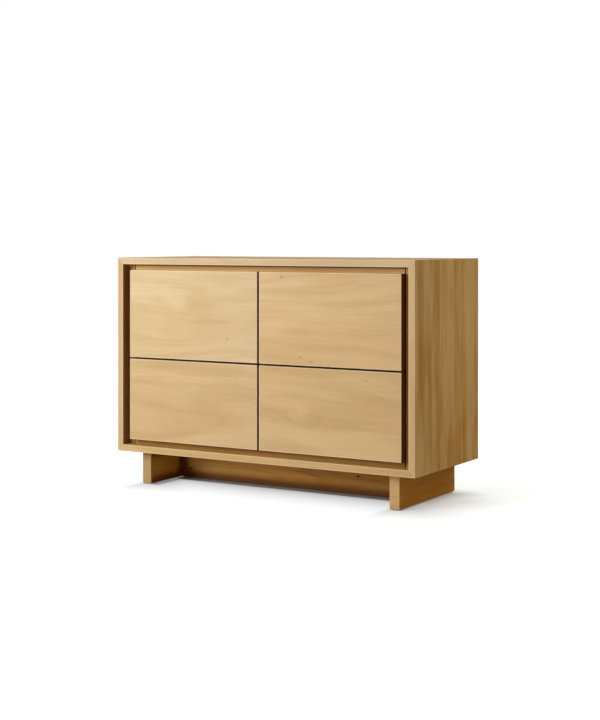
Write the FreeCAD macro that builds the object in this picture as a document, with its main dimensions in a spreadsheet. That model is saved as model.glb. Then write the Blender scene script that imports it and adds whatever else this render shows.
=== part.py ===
import FreeCAD, Part
import math
import operator
import os
from types import SimpleNamespace

import Sketcher
from FreeCAD import Placement, Rotation, Vector

# A four-drawer unit in solid wood. The front faces -Y, X runs to the viewer's right, Z is up,
# and the origin is on the floor under the middle of the case.

# Driving sizes in millimetres, with counts and shares where the name says so.
SIZES = {
    # the case, four boards mitred at the corners
    "case_width": 1000,
    "case_depth": 412,
    "case_height": 583,
    "panel_thickness": 20,
    "case_arris": 1.2,
    "glue_gap": 0.1,
    "overrun": 5,
    # loose tongues in the mitres
    "spline_thickness": 4,
    "spline_width": 14,
    "spline_stop": 30,
    # back panel in its rebate
    "back_thickness": 8,
    "back_setback": 1,
    "rebate_width": 10,
    "back_clearance": 0.5,
    # recessed frame behind the drawer fronts
    "stile_width": 22,
    "stile_depth": 30,
    "rail_height": 40,
    "rail_depth": 20,
    "rail_end_gap": 3,
    "frame_arris": 0.8,
    # centre divider and the battens that carry the slides
    "divider_thickness": 20,
    "housing_depth": 6,
    "batten_margin": 6,
    "batten_back_gap": 6,
    # plinth
    "plinth_height": 100,
    "foot_thickness": 30,
    "foot_inset": 66,
    "foot_front_setback": 38,
    "foot_back_setback": 20,
    "foot_round": 4,
    "cross_thickness": 22,
    "tenon_length": 12,
    "tenon_shoulder": 16,
    "pad_diameter": 20,
    "pad_height": 2,
    "pad_end_inset": 32,
    # drawer fronts
    "front_thickness": 24,
    "front_setback": 4,
    "closing_gap": 2,
    "side_gap": 22.5,
    "end_gap": 17,
    "row_gap": 4,
    "column_gap": 5,
    "lower_front_height": 243,
    "finger_bevel": 12,
    "finger_length_share": 0.6,
    "front_arris": 1.5,
    # drawer boxes
    "box_wall": 12,
    "box_bottom_thickness": 6,
    "bottom_rise": 10,
    "bottom_groove": 6,
    "rail_clearance": 6,
    "tail_count": 4,
    "tail_width_share": 0.68,
    "tail_slope_share": 0.16,
    # telescopic slides, three nested steel members
    "slide_thickness": 12.7,
    "slide_height": 45,
    "slide_setback": 2,
    "slide_back_gap": 21,
    "slide_rise_share": 0.5,
    "steel": 1.2,
    "bend_radius": 1.5,
    "race_height": 3.5,
    "web_gap": 2.8,
    "tip_gap": 0.8,
    "lip_step": 0.45,
    "lip_gap": 1,
    "run_clearance": 0.3,
    "bearing_length": 120,
    # closing bumpers on the rails
    "bumper_diameter": 8,
    "bumper_clearance": 0.2,
    "bumper_spread_share": 0.36,
    # screws
    "back_screw_diameter": 3.5,
    "back_screw_length": 25,
    "base_screw_diameter": 5,
    "base_screw_length": 60,
    "front_screw_diameter": 4,
    "front_screw_length": 26,
    "screw_head_share": 2,
    "screw_head_height_share": 0.6,
    "small_round_sides": 8,
    "back_screw_side_share": 0.4,
    "back_screw_top_share": 0.32,
    "base_screw_share": 0.36,
    "front_screw_side_share": 0.38,
    "front_screw_rise_share": 0.28,
}

# Two points closer than this are the same point.
TOUCH = 1e-4


class Size:
    """A sum on the cells of the sheet, written with ordinary arithmetic, and what it comes to now."""

    def __init__(self, text, value):
        self.text = text
        self.value = value

    def __str__(self):
        return self.text

    def __add__(self, other):
        return joined(self, "+", other)

    def __radd__(self, other):
        return joined(other, "+", self)

    def __sub__(self, other):
        return joined(self, "-", other)

    def __rsub__(self, other):
        return joined(other, "-", self)

    def __mul__(self, other):
        return joined(self, "*", other)

    def __rmul__(self, other):
        return joined(other, "*", self)

    def __truediv__(self, other):
        return joined(self, "/", other)

    def __neg__(self):
        return 0 - self


WORK = {"+": operator.add, "-": operator.sub, "*": operator.mul, "/": operator.truediv}


def plain(size):
    return size.value if isinstance(size, Size) else size


def joined(one, sign, other):
    return Size(f"({one} {sign} {other})", WORK[sign](plain(one), plain(other)))


def least(one, other):
    return Size(f"min({one}; {other})", min(plain(one), plain(other)))


doc = FreeCAD.newDocument("drawer_unit")
sheet = doc.addObject("Spreadsheet::Sheet", "dims")
for row, (alias, value) in enumerate(SIZES.items(), 1):
    sheet.set(f"A{row}", str(value))
    sheet.setAlias(f"A{row}", alias)
doc.recompute()
dims = SimpleNamespace(**{alias: Size(f"dims.{alias}", value) for alias, value in SIZES.items()})

nodes = []


def node(label, item):
    """Names a finished sub-part, which is written to its own file."""
    item.Label = label
    nodes.append(item)
    return item


def put(item, x=0, y=0, z=0):
    for axis, size in zip("xyz", (x, y, z)):
        item.setExpression(f".Placement.Base.{axis}", str(size))
    return item


def box(name, length, width, height, x=0, y=0, z=0):
    solid = doc.addObject("Part::Box", name)
    solid.setExpression("Length", str(length))
    solid.setExpression("Width", str(width))
    solid.setExpression("Height", str(height))
    return put(solid, x, y, z)


def disc(name, diameter, height, x, y):
    solid = doc.addObject("Part::Cylinder", name)
    solid.setExpression("Radius", str(diameter / 2))
    solid.setExpression("Height", str(height))
    return put(solid, x, y)


def group(name, items):
    """Several solids that stay separate and share one name."""
    item = doc.addObject("Part::Compound", name)
    item.Links = items
    return item


def copy(name, source, x=0, y=0, z=0, turn=Rotation()):
    item = group(name, [source])
    item.Placement = Placement(Vector(), turn)
    return put(item, x, y, z)


def mirror(name, source):
    """The same piece on the other side of X = 0."""
    item = doc.addObject("Part::Mirroring", name)
    item.Source = source
    item.Normal = Vector(1, 0, 0)
    return item


def cut(name, base, *tools):
    tool = tools[0]
    if len(tools) > 1:
        tool = doc.addObject("Part::MultiFuse", f"{name}_tools")
        tool.Shapes = list(tools)
    item = doc.addObject("Part::Cut", name)
    item.Base = base
    item.Tool = tool
    return item


def sketch(body, name, role, *loops):
    """Closed straight-sided outlines on a plane of the body, each corner set by two sizes."""
    item = body.newObject("Sketcher::SketchObject", name)
    plane = next(feature for feature in body.Origin.OriginFeatures if feature.Role == role)
    item.AttachmentSupport = [(plane, "")]
    item.MapMode = "FlatFace"
    for corners in loops:
        first = item.GeometryCount
        points = [Vector(plain(x), plain(y), 0) for x, y in corners]
        for start, end in zip(points, points[1:] + points[:1]):
            item.addGeometry(Part.LineSegment(start, end), False)
        for number, corner in enumerate(corners):
            line = first + number
            following = first + (number + 1) % len(corners)
            item.addConstraint(Sketcher.Constraint("Coincident", line, 2, following, 1))
            for kind, size, now in zip(("DistanceX", "DistanceY"), corner, points[number]):
                place = item.addConstraint(Sketcher.Constraint(kind, -1, 1, line, 1, now))
                item.setExpression(f"Constraints[{place}]", str(size))
    return item


def rectangle(width, height, x=0, y=0):
    return [(x, y), (x + width, y), (x + width, y + height), (x, y + height)]


def pad(body, name, profile, length, away=False):
    item = body.newObject("PartDesign::Pad", name)
    item.Profile = profile
    item.Reversed = away
    item.setExpression("Length", str(length))
    return item


def prism(name, role, corners, length):
    """A body with one straight outline, drawn out along +X, +Y or +Z."""
    body = doc.addObject("PartDesign::Body", name)
    outline = sketch(body, f"{name}_outline", role, corners)
    pad(body, f"{name}_pad", outline, length, away=role == "XZ_Plane")
    return body


def on_sides(shape, edge, sides):
    """True where the edge lies in each of the named outer planes of the shape, such as YMin."""
    for side in sides:
        level = getattr(shape.BoundBox, side)
        low = getattr(edge.BoundBox, f"{side[0]}Min")
        high = getattr(edge.BoundBox, f"{side[0]}Max")
        if abs(low - level) > TOUCH or abs(high - level) > TOUCH:
            return False
    return True


def dress_edges(body, kind, amount, corners):
    """Rounds or bevels the edges where the named pairs of outer planes meet."""
    doc.recompute()
    base = body.Tip
    chosen = []
    for number, edge in enumerate(base.Shape.Edges, 1):
        if any(on_sides(base.Shape, edge, corner) for corner in corners):
            chosen.append(f"Edge{number}")
    item = body.newObject(f"PartDesign::{kind}", f"{body.Name}_{kind}")
    item.Base = (base, chosen)
    item.setExpression("Radius" if kind == "Fillet" else "Size", str(amount))
    return body


def peg(name, diameter, height, z=0, turn=Rotation()):
    """A small round piece, drawn with a few flat sides."""
    solid = doc.addObject("Part::Prism", name)
    solid.setExpression("Polygon", str(dims.small_round_sides))
    solid.setExpression("Circumradius", str(diameter / 2))
    solid.setExpression("Height", str(height))
    solid.Placement = Placement(Vector(), turn)
    return put(solid, z=z)


def screw(name, diameter, length, allowance=0):
    """A screw that points down, its head flush with Z = 0, or the stepped hole for one."""
    head_height = diameter * dims.screw_head_height_share
    head = peg(
        f"{name}_head", diameter * dims.screw_head_share + 2 * allowance, head_height, -head_height
    )
    shank = peg(
        f"{name}_shank", diameter + 2 * allowance, length - head_height + allowance, -length - allowance
    )
    item = doc.addObject("Part::Fuse", name)
    item.Base = head
    item.Tool = shank
    return item


def screw_set(name, diameter, length, places, turn=Rotation()):
    """The screws at the given places, and the holes that they sit in."""
    sets = []
    for part, allowance in (("screw", 0), ("hole", dims.glue_gap)):
        one = screw(f"{name}_{part}", diameter, length, allowance)
        copies = [copy(f"{name}_{part}_copy", one, *place, turn) for place in places]
        sets.append(group(f"{name}_{part}s", copies))
    return sets


# Turns a piece that points along -Z so that it points along -Y.
LAID_FORWARD = Rotation(Vector(1, 0, 0), -90)

# Levels and faces that several pieces share.
front_y = -dims.case_depth / 2
case_top = dims.plinth_height + dims.case_height
inner_bottom = dims.plinth_height + dims.panel_thickness
inner_top = case_top - dims.panel_thickness
inner_height = inner_top - inner_bottom
inner_half = dims.case_width / 2 - dims.panel_thickness
box_front_y = front_y + dims.front_setback + dims.front_thickness
frame_y = box_front_y + dims.closing_gap
back_y = dims.case_depth / 2 - dims.back_setback - dims.back_thickness
stile_face = inner_half - dims.stile_width
opening_width = stile_face - dims.divider_thickness / 2
column_x = (stile_face + dims.divider_thickness / 2) / 2
lower_z = inner_bottom + dims.end_gap
upper_z = lower_z + dims.lower_front_height + dims.row_gap
upper_front_height = inner_top - dims.end_gap - upper_z
box_lift = dims.rail_height + dims.rail_clearance - dims.end_gap
box_height = least(dims.lower_front_height, upper_front_height) - 2 * box_lift
box_width = opening_width - 2 * dims.slide_thickness
slide_length = back_y - dims.slide_back_gap - frame_y - dims.slide_setback
box_depth = dims.closing_gap + dims.slide_setback + slide_length
slide_z = box_height * dims.slide_rise_share

COLUMNS = {"left": -1, "right": 1}
ROWS = {"upper": (upper_z, upper_front_height), "lower": (lower_z, dims.lower_front_height)}


def mitred_board(name, across):
    """One case board, drawn lying with its outer face at level 0, or standing at X = 0."""
    half = dims.case_width / 2 if across else dims.case_height / 2
    wall = dims.panel_thickness
    outer = [(-half, 0), (half, 0), (half - wall, wall), (wall - half, wall)]
    if not across:
        outer = [(high, along) for along, high in outer]
    body = prism(name, "XZ_Plane", outer, dims.case_depth)
    pair = ("ZMin", "ZMax") if across else ("XMin", "XMax")
    return dress_edges(body, "Fillet", dims.case_arris, [("YMin", side) for side in pair])


def stand(body, angle, x, z):
    body.Placement = Placement(Vector(), Rotation(Vector(0, 1, 0), angle))
    return put(body, x, front_y, z)


def mitre_tongue(name, x_sign, z_sign, allowance):
    """A flat strip across one mitre, square to the joint, or the groove for it."""
    slope = x_sign * z_sign
    width = dims.spline_width + 2 * allowance
    thickness = dims.spline_thickness + 2 * allowance
    length = dims.case_depth - 2 * dims.spline_stop + 2 * allowance
    strip = box(name, width, length, thickness)
    strip.Placement = Placement(Vector(), Rotation(Vector(0, 1, 0), 45 * slope))
    diagonal = math.sqrt(2) / 4
    middle_x = x_sign * (dims.case_width / 2 - dims.panel_thickness / 2)
    middle_z = dims.plinth_height + dims.case_height / 2
    middle_z = middle_z + z_sign * (dims.case_height / 2 - dims.panel_thickness / 2)
    start_x = middle_x - diagonal * (width + slope * thickness)
    start_z = middle_z + diagonal * (slope * width - thickness)
    return put(strip, start_x, front_y + dims.spline_stop - allowance, start_z)


def build_case():
    """Four mitred boards with their tongues, the back panel and the centre divider."""
    tongues = []
    grooves = {}
    for x_sign in (-1, 1):
        for z_sign in (-1, 1):
            tongues.append(mitre_tongue("mitre_spline", x_sign, z_sign, 0))
            grooves[x_sign, z_sign] = mitre_tongue("mitre_groove", x_sign, z_sign, dims.glue_gap)
    node("mitre_splines", group("mitre_splines", tongues))

    recess_width = 2 * (inner_half + dims.rebate_width)
    recess_height = inner_height + 2 * dims.rebate_width
    recess = box(
        "back_recess",
        recess_width,
        dims.back_thickness + dims.back_setback + dims.overrun,
        recess_height,
        -recess_width / 2,
        back_y,
        inner_bottom - dims.rebate_width,
    )
    rim = dims.rebate_width / 2
    side_step = inner_height * dims.back_screw_side_share
    top_step = dims.case_width * dims.back_screw_top_share
    middle_z = inner_bottom + inner_height / 2
    screw_y = back_y + dims.back_thickness
    places = []
    for x in (-inner_half - rim, 0, inner_half + rim):
        for z in (middle_z - side_step, middle_z, middle_z + side_step):
            places.append((x, screw_y, z))
    for x in (-top_step, 0, top_step):
        for z in (inner_bottom - rim, inner_top + rim):
            places.append((x, screw_y, z))
    screws, holes = screw_set(
        "back", dims.back_screw_diameter, dims.back_screw_length, places, LAID_FORWARD
    )
    node("back_screws", screws)
    sheet_width = recess_width - 2 * dims.back_clearance
    sheet_height = recess_height - 2 * dims.back_clearance
    back = box(
        "back_sheet",
        sheet_width,
        dims.back_thickness,
        sheet_height,
        -sheet_width / 2,
        back_y,
        inner_bottom - dims.rebate_width + dims.back_clearance,
    )
    node("back_panel", cut("back_panel", back, holes))

    rail_back = frame_y + dims.rail_depth
    low = inner_bottom + dims.rail_height
    high = inner_top - dims.rail_height
    profile = [
        (frame_y, low),
        (rail_back, low),
        (rail_back, inner_bottom - dims.housing_depth),
        (back_y, inner_bottom - dims.housing_depth),
        (back_y, inner_top + dims.housing_depth),
        (rail_back, inner_top + dims.housing_depth),
        (rail_back, high),
        (frame_y, high),
    ]
    divider = prism("divider_board", "YZ_Plane", profile, dims.divider_thickness)
    put(divider, -dims.divider_thickness / 2)
    node("centre_divider", cut("centre_divider", divider, holes))

    base_screws, base_holes = build_plinth()
    node("base_screws", base_screws)
    top = stand(mitred_board("top_board", True), 180, 0, case_top)
    bottom = stand(mitred_board("bottom_board", True), 0, 0, dims.plinth_height)
    middle = dims.plinth_height + dims.case_height / 2
    left = stand(mitred_board("left_board", False), 0, -dims.case_width / 2, middle)
    right = stand(mitred_board("right_board", False), 180, dims.case_width / 2, middle)
    node("top_panel", cut("top_panel", top, recess, holes, grooves[-1, 1], grooves[1, 1], divider))
    node(
        "bottom_panel",
        cut("bottom_panel", bottom, recess, holes, base_holes, grooves[-1, -1], grooves[1, -1], divider),
    )
    node("left_side_panel", cut("left_side_panel", left, recess, holes, grooves[-1, -1], grooves[-1, 1]))
    node("right_side_panel", cut("right_side_panel", right, recess, holes, grooves[1, -1], grooves[1, 1]))


def build_frame():
    """Stiles and rails behind the fronts, the battens that carry the slides, and the bumpers."""
    battens = []
    bumpers = []
    for side, sign in COLUMNS.items():
        x = inner_half - dims.stile_width if sign > 0 else -inner_half
        upright = prism(
            f"{side}_stile", "XY_Plane", rectangle(dims.stile_width, dims.stile_depth), inner_height
        )
        dress_edges(upright, "Chamfer", dims.frame_arris, [("YMin", "XMin"), ("YMin", "XMax")])
        node(f"{side}_stile", put(upright, x, frame_y, inner_bottom))
        batten_y = frame_y + dims.stile_depth
        batten_height = dims.slide_height + 2 * dims.batten_margin
        batten_length = back_y - dims.batten_back_gap - batten_y
        for z, _ in ROWS.values():
            level = z + box_lift + slide_z - batten_height / 2
            battens.append(
                box(f"{side}_batten", dims.stile_width, batten_length, batten_height, x, batten_y, level)
            )
    node("runner_battens", group("runner_battens", battens))

    rail_length = 2 * (stile_face - dims.rail_end_gap)
    overlap = (dims.rail_height - dims.end_gap - dims.finger_bevel) / 2
    pad_thickness = dims.closing_gap - dims.bumper_clearance
    for name, z, bumper_z in (
        ("top", inner_top - dims.rail_height, inner_top - dims.rail_height + overlap),
        ("bottom", inner_bottom, inner_bottom + dims.rail_height - overlap),
    ):
        rail = prism(f"{name}_rail", "YZ_Plane", rectangle(dims.rail_depth, dims.rail_height), rail_length)
        dress_edges(rail, "Chamfer", dims.frame_arris, [("YMin", "ZMin"), ("YMin", "ZMax")])
        node(f"{name}_rail", put(rail, -rail_length / 2, frame_y, z))
        for column in COLUMNS.values():
            for spread in (-1, 1):
                button = peg("bumper", dims.bumper_diameter, pad_thickness, turn=LAID_FORWARD)
                x = column * column_x + spread * box_width * dims.bumper_spread_share
                bumpers.append(put(button, x, frame_y - pad_thickness, bumper_z))
    node("closing_bumpers", group("closing_bumpers", bumpers))


def build_plinth():
    """Two foot boards with the cross board tenoned between them; returns the screws and their holes."""
    foot_y = front_y + dims.foot_front_setback
    foot_length = dims.case_depth - dims.foot_front_setback - dims.foot_back_setback
    foot_height = dims.plinth_height - dims.pad_height
    foot_outer = dims.case_width / 2 - dims.foot_inset
    foot_inner = foot_outer - dims.foot_thickness
    foot_middle = foot_outer - dims.foot_thickness / 2
    middle_y = foot_y + foot_length / 2

    reach = foot_inner + dims.tenon_length
    shoulder = dims.tenon_shoulder
    profile = [
        (-foot_inner, 0),
        (foot_inner, 0),
        (foot_inner, shoulder),
        (reach, shoulder),
        (reach, foot_height - shoulder),
        (foot_inner, foot_height - shoulder),
        (foot_inner, foot_height),
        (-foot_inner, foot_height),
        (-foot_inner, foot_height - shoulder),
        (-reach, foot_height - shoulder),
        (-reach, shoulder),
        (-foot_inner, shoulder),
    ]
    cross = prism("cross_blank", "XZ_Plane", profile, dims.cross_thickness)
    put(cross, 0, middle_y - dims.cross_thickness / 2, dims.pad_height)
    mortise_length = 2 * (reach + dims.glue_gap)
    mortise_width = dims.cross_thickness + 2 * dims.glue_gap
    mortise_height = foot_height - 2 * shoulder + 2 * dims.glue_gap
    mortise = box(
        "mortise",
        mortise_length,
        mortise_width,
        mortise_height,
        -mortise_length / 2,
        middle_y - mortise_width / 2,
        dims.pad_height + shoulder - dims.glue_gap,
    )

    step = foot_length * dims.base_screw_share
    places = []
    for sign in COLUMNS.values():
        places.append((sign * foot_inner * dims.base_screw_share, middle_y, inner_bottom))
        for y in (middle_y - step, middle_y + step):
            places.append((sign * foot_middle, y, inner_bottom))
    screws, holes = screw_set("base", dims.base_screw_diameter, dims.base_screw_length, places)
    node("cross_board", cut("cross_board", cross, holes))

    pads = []
    bottom_edges = [(side, "ZMin") for side in ("XMin", "XMax", "YMin", "YMax")]
    for side, sign in COLUMNS.items():
        x = foot_inner if sign > 0 else -foot_outer
        foot = prism(
            f"{side}_foot_blank", "XY_Plane", rectangle(dims.foot_thickness, foot_length), foot_height
        )
        dress_edges(foot, "Fillet", dims.foot_round, bottom_edges)
        put(foot, x, foot_y, dims.pad_height)
        node(f"{side}_foot", cut(f"{side}_foot", foot, mortise, holes))
        for y in (foot_y + dims.pad_end_inset, foot_y + foot_length - dims.pad_end_inset):
            pads.append(disc("felt_pad", dims.pad_diameter, dims.pad_height, sign * foot_middle, y))
    node("felt_pads", group("felt_pads", pads))
    return screws, holes


def build_box():
    """One drawer box about X = 0, its front face at Y = 0 and its lower edge at Z = 0."""
    wall = dims.box_wall
    inner_length = box_depth - 2 * wall
    inner_width = box_width - 2 * wall
    pitch = box_height / dims.tail_count
    tip = pitch * dims.tail_width_share / 2
    root = tip - wall * dims.tail_slope_share

    side = doc.addObject("PartDesign::Body", "box_side_board")
    plain = sketch(side, "box_side_outline", "YZ_Plane", rectangle(inner_length, box_height, wall))
    pad(side, "box_side_pad", plain, wall)
    near = [
        (wall, pitch / 2 - root),
        (wall, pitch / 2 + root),
        (0, pitch / 2 + tip),
        (0, pitch / 2 - tip),
    ]
    far = [(box_depth - along, height) for along, height in near]
    tails = sketch(side, "tail_outline", "YZ_Plane", near, far)
    tail = pad(side, "tail", tails, wall)
    rack = side.newObject("PartDesign::LinearPattern", "tail_row")
    rack.Originals = [tail]
    rack.Direction = (tails, ["V_Axis"])
    rack.setExpression("Length", str(pitch * (dims.tail_count - 1)))
    rack.setExpression("Occurrences", str(dims.tail_count))
    side.Tip = rack
    put(side, -box_width / 2)

    panel_width = inner_width + 2 * dims.bottom_groove
    panel_length = inner_length + 2 * dims.bottom_groove
    panel = box(
        "box_bottom_panel",
        panel_width - 2 * dims.glue_gap,
        panel_length - 2 * dims.glue_gap,
        dims.box_bottom_thickness,
        dims.glue_gap - panel_width / 2,
        wall - dims.bottom_groove + dims.glue_gap,
        dims.bottom_rise,
    )
    slot = box(
        "box_bottom_slot",
        panel_width,
        panel_length,
        dims.box_bottom_thickness,
        -panel_width / 2,
        wall - dims.bottom_groove,
        dims.bottom_rise,
    )
    left = cut("box_left_side", side, slot)
    right = mirror("box_right_side", left)
    front_blank = box("box_front_blank", box_width, wall, box_height, -box_width / 2)
    back_blank = box("box_back_blank", box_width, wall, box_height, -box_width / 2, box_depth - wall)
    places = []
    for sign in COLUMNS.values():
        x = sign * box_width * dims.front_screw_side_share
        low = box_height * dims.front_screw_rise_share
        for z in (low, box_height - low):
            places.append((x, wall, z))
    screws, holes = screw_set(
        "front", dims.front_screw_diameter, dims.front_screw_length, places, LAID_FORWARD
    )
    pieces = {
        "box_left_side": left,
        "box_right_side": right,
        "box_front": cut("box_front", front_blank, left, right, slot, holes),
        "box_back": cut("box_back", back_blank, left, right, slot),
        "box_bottom": panel,
        "front_screws": screws,
    }
    return pieces, holes


def slide_bar(name, corners, length, y):
    bar = prism(name, "XZ_Plane", corners, length)
    return put(bar, -opening_width / 2, y, slide_z)


def build_slides():
    """A pair of three-member slides beside the box. Outlines run from the case side, at 0, inwards."""
    steel = dims.steel
    gap = dims.run_clearance
    outer_half = dims.slide_height / 2
    middle_half = outer_half - steel - dims.race_height
    inner_half_height = middle_half - steel - dims.race_height
    inner_web = dims.slide_thickness - steel
    middle_reach = inner_web - dims.lip_step
    outer_reach = middle_reach - dims.lip_step
    middle_start = steel + dims.web_gap
    inner_start = middle_start + steel + dims.tip_gap
    start_y = dims.closing_gap + dims.slide_setback
    end_y = start_y + slide_length

    def channel(start, reach, half, lip_end):
        upper = [(reach, lip_end), (reach, half), (start, half)]
        inner = [
            (start + steel, half - steel),
            (reach - steel, half - steel),
            (reach - steel, lip_end),
        ]
        outside = upper + [(x, -z) for x, z in reversed(upper)]
        inside = [(x, -z) for x, z in reversed(inner)] + inner
        return outside + inside

    hat = [
        (inner_web, inner_half_height - steel),
        (inner_start, inner_half_height - steel),
        (inner_start, middle_half - steel - dims.lip_gap / 2),
        (inner_start + steel, middle_half - steel - dims.lip_gap / 2),
        (inner_start + steel, inner_half_height),
        (dims.slide_thickness, inner_half_height),
    ]
    hat_corners = hat + [(x, -z) for x, z in reversed(hat)]

    outer_corners = channel(0, outer_reach, outer_half, middle_half + dims.lip_gap)
    middle_corners = channel(middle_start, middle_reach, middle_half, inner_half_height + dims.lip_gap)
    outer = slide_bar("outer_member", outer_corners, slide_length, start_y)
    middle = slide_bar("middle_member", middle_corners, slide_length, start_y)
    inner = slide_bar("inner_member", hat_corners, slide_length, start_y)
    bends = [("XMin", edge) for edge in ("ZMin", "ZMax")]
    for member in (outer, middle):
        dress_edges(member, "Fillet", dims.bend_radius, bends)

    bearings = []
    rear_y = end_y - dims.bearing_length
    outer_race = (middle_half, dims.race_height - gap, middle_start, outer_reach - steel - gap, rear_y)
    inner_race = (
        inner_half_height + gap,
        dims.race_height - gap,
        inner_start + steel + gap,
        middle_reach - steel - gap,
        start_y,
    )
    for low, height, start, reach, y in (outer_race, inner_race):
        for z in (low, -low - height):
            corners = rectangle(reach - start, height, start, z)
            bearings.append(slide_bar("bearing_strip", corners, dims.bearing_length, y))

    pairs = {}
    for name, items in (("outer", [outer]), ("middle", [middle] + bearings), ("inner", [inner])):
        one = group(f"{name}_side", items)
        pairs[f"slide_{name}_members"] = group(f"{name}_pair", [one, mirror(f"{name}_mirror", one)])
    return pairs


def drawer_front(name, row, sign, z, height, holes):
    """A front with a stopped finger bevel behind the edge that it is pulled by, top or bottom."""
    outer = inner_half - dims.side_gap
    width = outer - dims.column_gap / 2
    blank = prism(f"{name}_blank", "XZ_Plane", rectangle(width, height), dims.front_thickness)
    show_edges = [("YMin", edge) for edge in ("XMin", "XMax", "ZMin", "ZMax")]
    dress_edges(blank, "Chamfer", dims.front_arris, show_edges)
    x = -outer if sign < 0 else dims.column_gap / 2
    put(blank, x, front_y + dims.front_setback, z)

    outward, edge_z = (1, z + height) if row == "upper" else (-1, z)
    behind = box_front_y + dims.overrun
    beyond = edge_z + outward * dims.overrun
    reach = dims.finger_bevel + 2 * dims.overrun
    corners = [(behind, beyond), (behind - reach, beyond), (behind, beyond - outward * reach)]
    length = width * dims.finger_length_share
    bevel = prism(f"{name}_finger_bevel", "YZ_Plane", corners, length)
    put(bevel, x + (width - length) / 2)
    return cut(f"{name}_front", blank, bevel, holes)


def build_drawers():
    pieces, holes = build_box()
    pieces.update(build_slides())
    for row, (z, height) in ROWS.items():
        for side, sign in COLUMNS.items():
            name = f"{row}_{side}"
            spot = (sign * column_x, box_front_y, z + box_lift)
            own_holes = copy(f"{name}_holes", holes, *spot)
            front = drawer_front(name, row, sign, z, height, own_holes)
            node(f"{name}_front", front)
            for piece, source in pieces.items():
                node(f"{name}_{piece}", copy(f"{name}_{piece}", source, *spot))


def write_parts():
    """Stops on any failed or empty piece, then writes each sub-part to its own file."""
    doc.recompute()
    for item in doc.Objects:
        if "Invalid" in item.State or "Error" in item.State:
            raise RuntimeError(f"{item.Label} failed: {item.State}")
    for item in nodes:
        if item.Shape.isNull() or not item.Shape.isValid() or not item.Shape.Solids:
            raise RuntimeError(f"{item.Label} has no valid solid")
    os.makedirs("parts", exist_ok=True)
    for item in nodes:
        item.Shape.exportStep(f"parts/{item.Label}.step")
        print(f"{item.Label}: {len(item.Shape.Solids)} solids, {item.Shape.Volume / 1000:.1f} cm3")


build_case()
build_frame()
build_drawers()
write_parts()
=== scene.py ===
"""Looks of a handleless four-drawer unit in pale solid wood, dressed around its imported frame."""

import logging
import math
from abc import ABC, abstractmethod
from dataclasses import dataclass, replace
from enum import Enum
from functools import reduce
from typing import Callable, Iterable, Sequence, Union

import bpy
from mathutils import Matrix, Vector


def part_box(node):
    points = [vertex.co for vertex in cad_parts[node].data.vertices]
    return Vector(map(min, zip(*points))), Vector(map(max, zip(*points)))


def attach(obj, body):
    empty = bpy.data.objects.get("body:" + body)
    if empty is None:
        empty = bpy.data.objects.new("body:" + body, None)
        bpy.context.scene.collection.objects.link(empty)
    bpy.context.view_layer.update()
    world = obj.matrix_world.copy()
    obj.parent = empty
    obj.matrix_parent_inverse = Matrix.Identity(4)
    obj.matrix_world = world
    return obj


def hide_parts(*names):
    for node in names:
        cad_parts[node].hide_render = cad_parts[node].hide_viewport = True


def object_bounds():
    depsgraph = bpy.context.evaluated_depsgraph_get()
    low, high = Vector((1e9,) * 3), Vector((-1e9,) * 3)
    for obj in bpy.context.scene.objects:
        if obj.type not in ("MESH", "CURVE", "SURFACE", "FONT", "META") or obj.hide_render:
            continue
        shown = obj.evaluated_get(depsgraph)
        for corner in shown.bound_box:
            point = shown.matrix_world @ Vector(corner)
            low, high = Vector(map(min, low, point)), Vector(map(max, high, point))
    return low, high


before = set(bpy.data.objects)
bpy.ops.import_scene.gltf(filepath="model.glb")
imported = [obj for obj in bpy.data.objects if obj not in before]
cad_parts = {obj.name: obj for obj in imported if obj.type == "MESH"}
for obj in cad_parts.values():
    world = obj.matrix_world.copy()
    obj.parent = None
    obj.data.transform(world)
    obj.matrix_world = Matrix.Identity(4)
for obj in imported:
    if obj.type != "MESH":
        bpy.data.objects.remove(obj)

CAD_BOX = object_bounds()
LOG = logging.getLogger("drawer_unit")

Triple = tuple[float, float, float]
Colour = Triple
Socket = bpy.types.NodeSocket
Value = Union[Socket, float, Sequence[float]]

MM = 0.001
COLUMN_X = 0.234


class Grain(Enum):
    """Which way a board runs: along its fibres, across its face, and through its thickness."""

    X_FACING_Y = ("X", "Z", "Y")
    X_FACING_Z = ("X", "Y", "Z")
    Y_FACING_X = ("Y", "Z", "X")
    Z_FACING_X = ("Z", "Y", "X")
    Z_FACING_Y = ("Z", "X", "Y")


class Side(Enum):
    """The two columns of drawers, with the sign of X on that side."""

    LEFT = -1
    RIGHT = 1

    @property
    def word(self) -> str:
        """The side's name as the pieces use it."""
        return self.name.lower()


class Row(Enum):
    """The two rows of drawers."""

    UPPER = "upper"
    LOWER = "lower"


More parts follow.
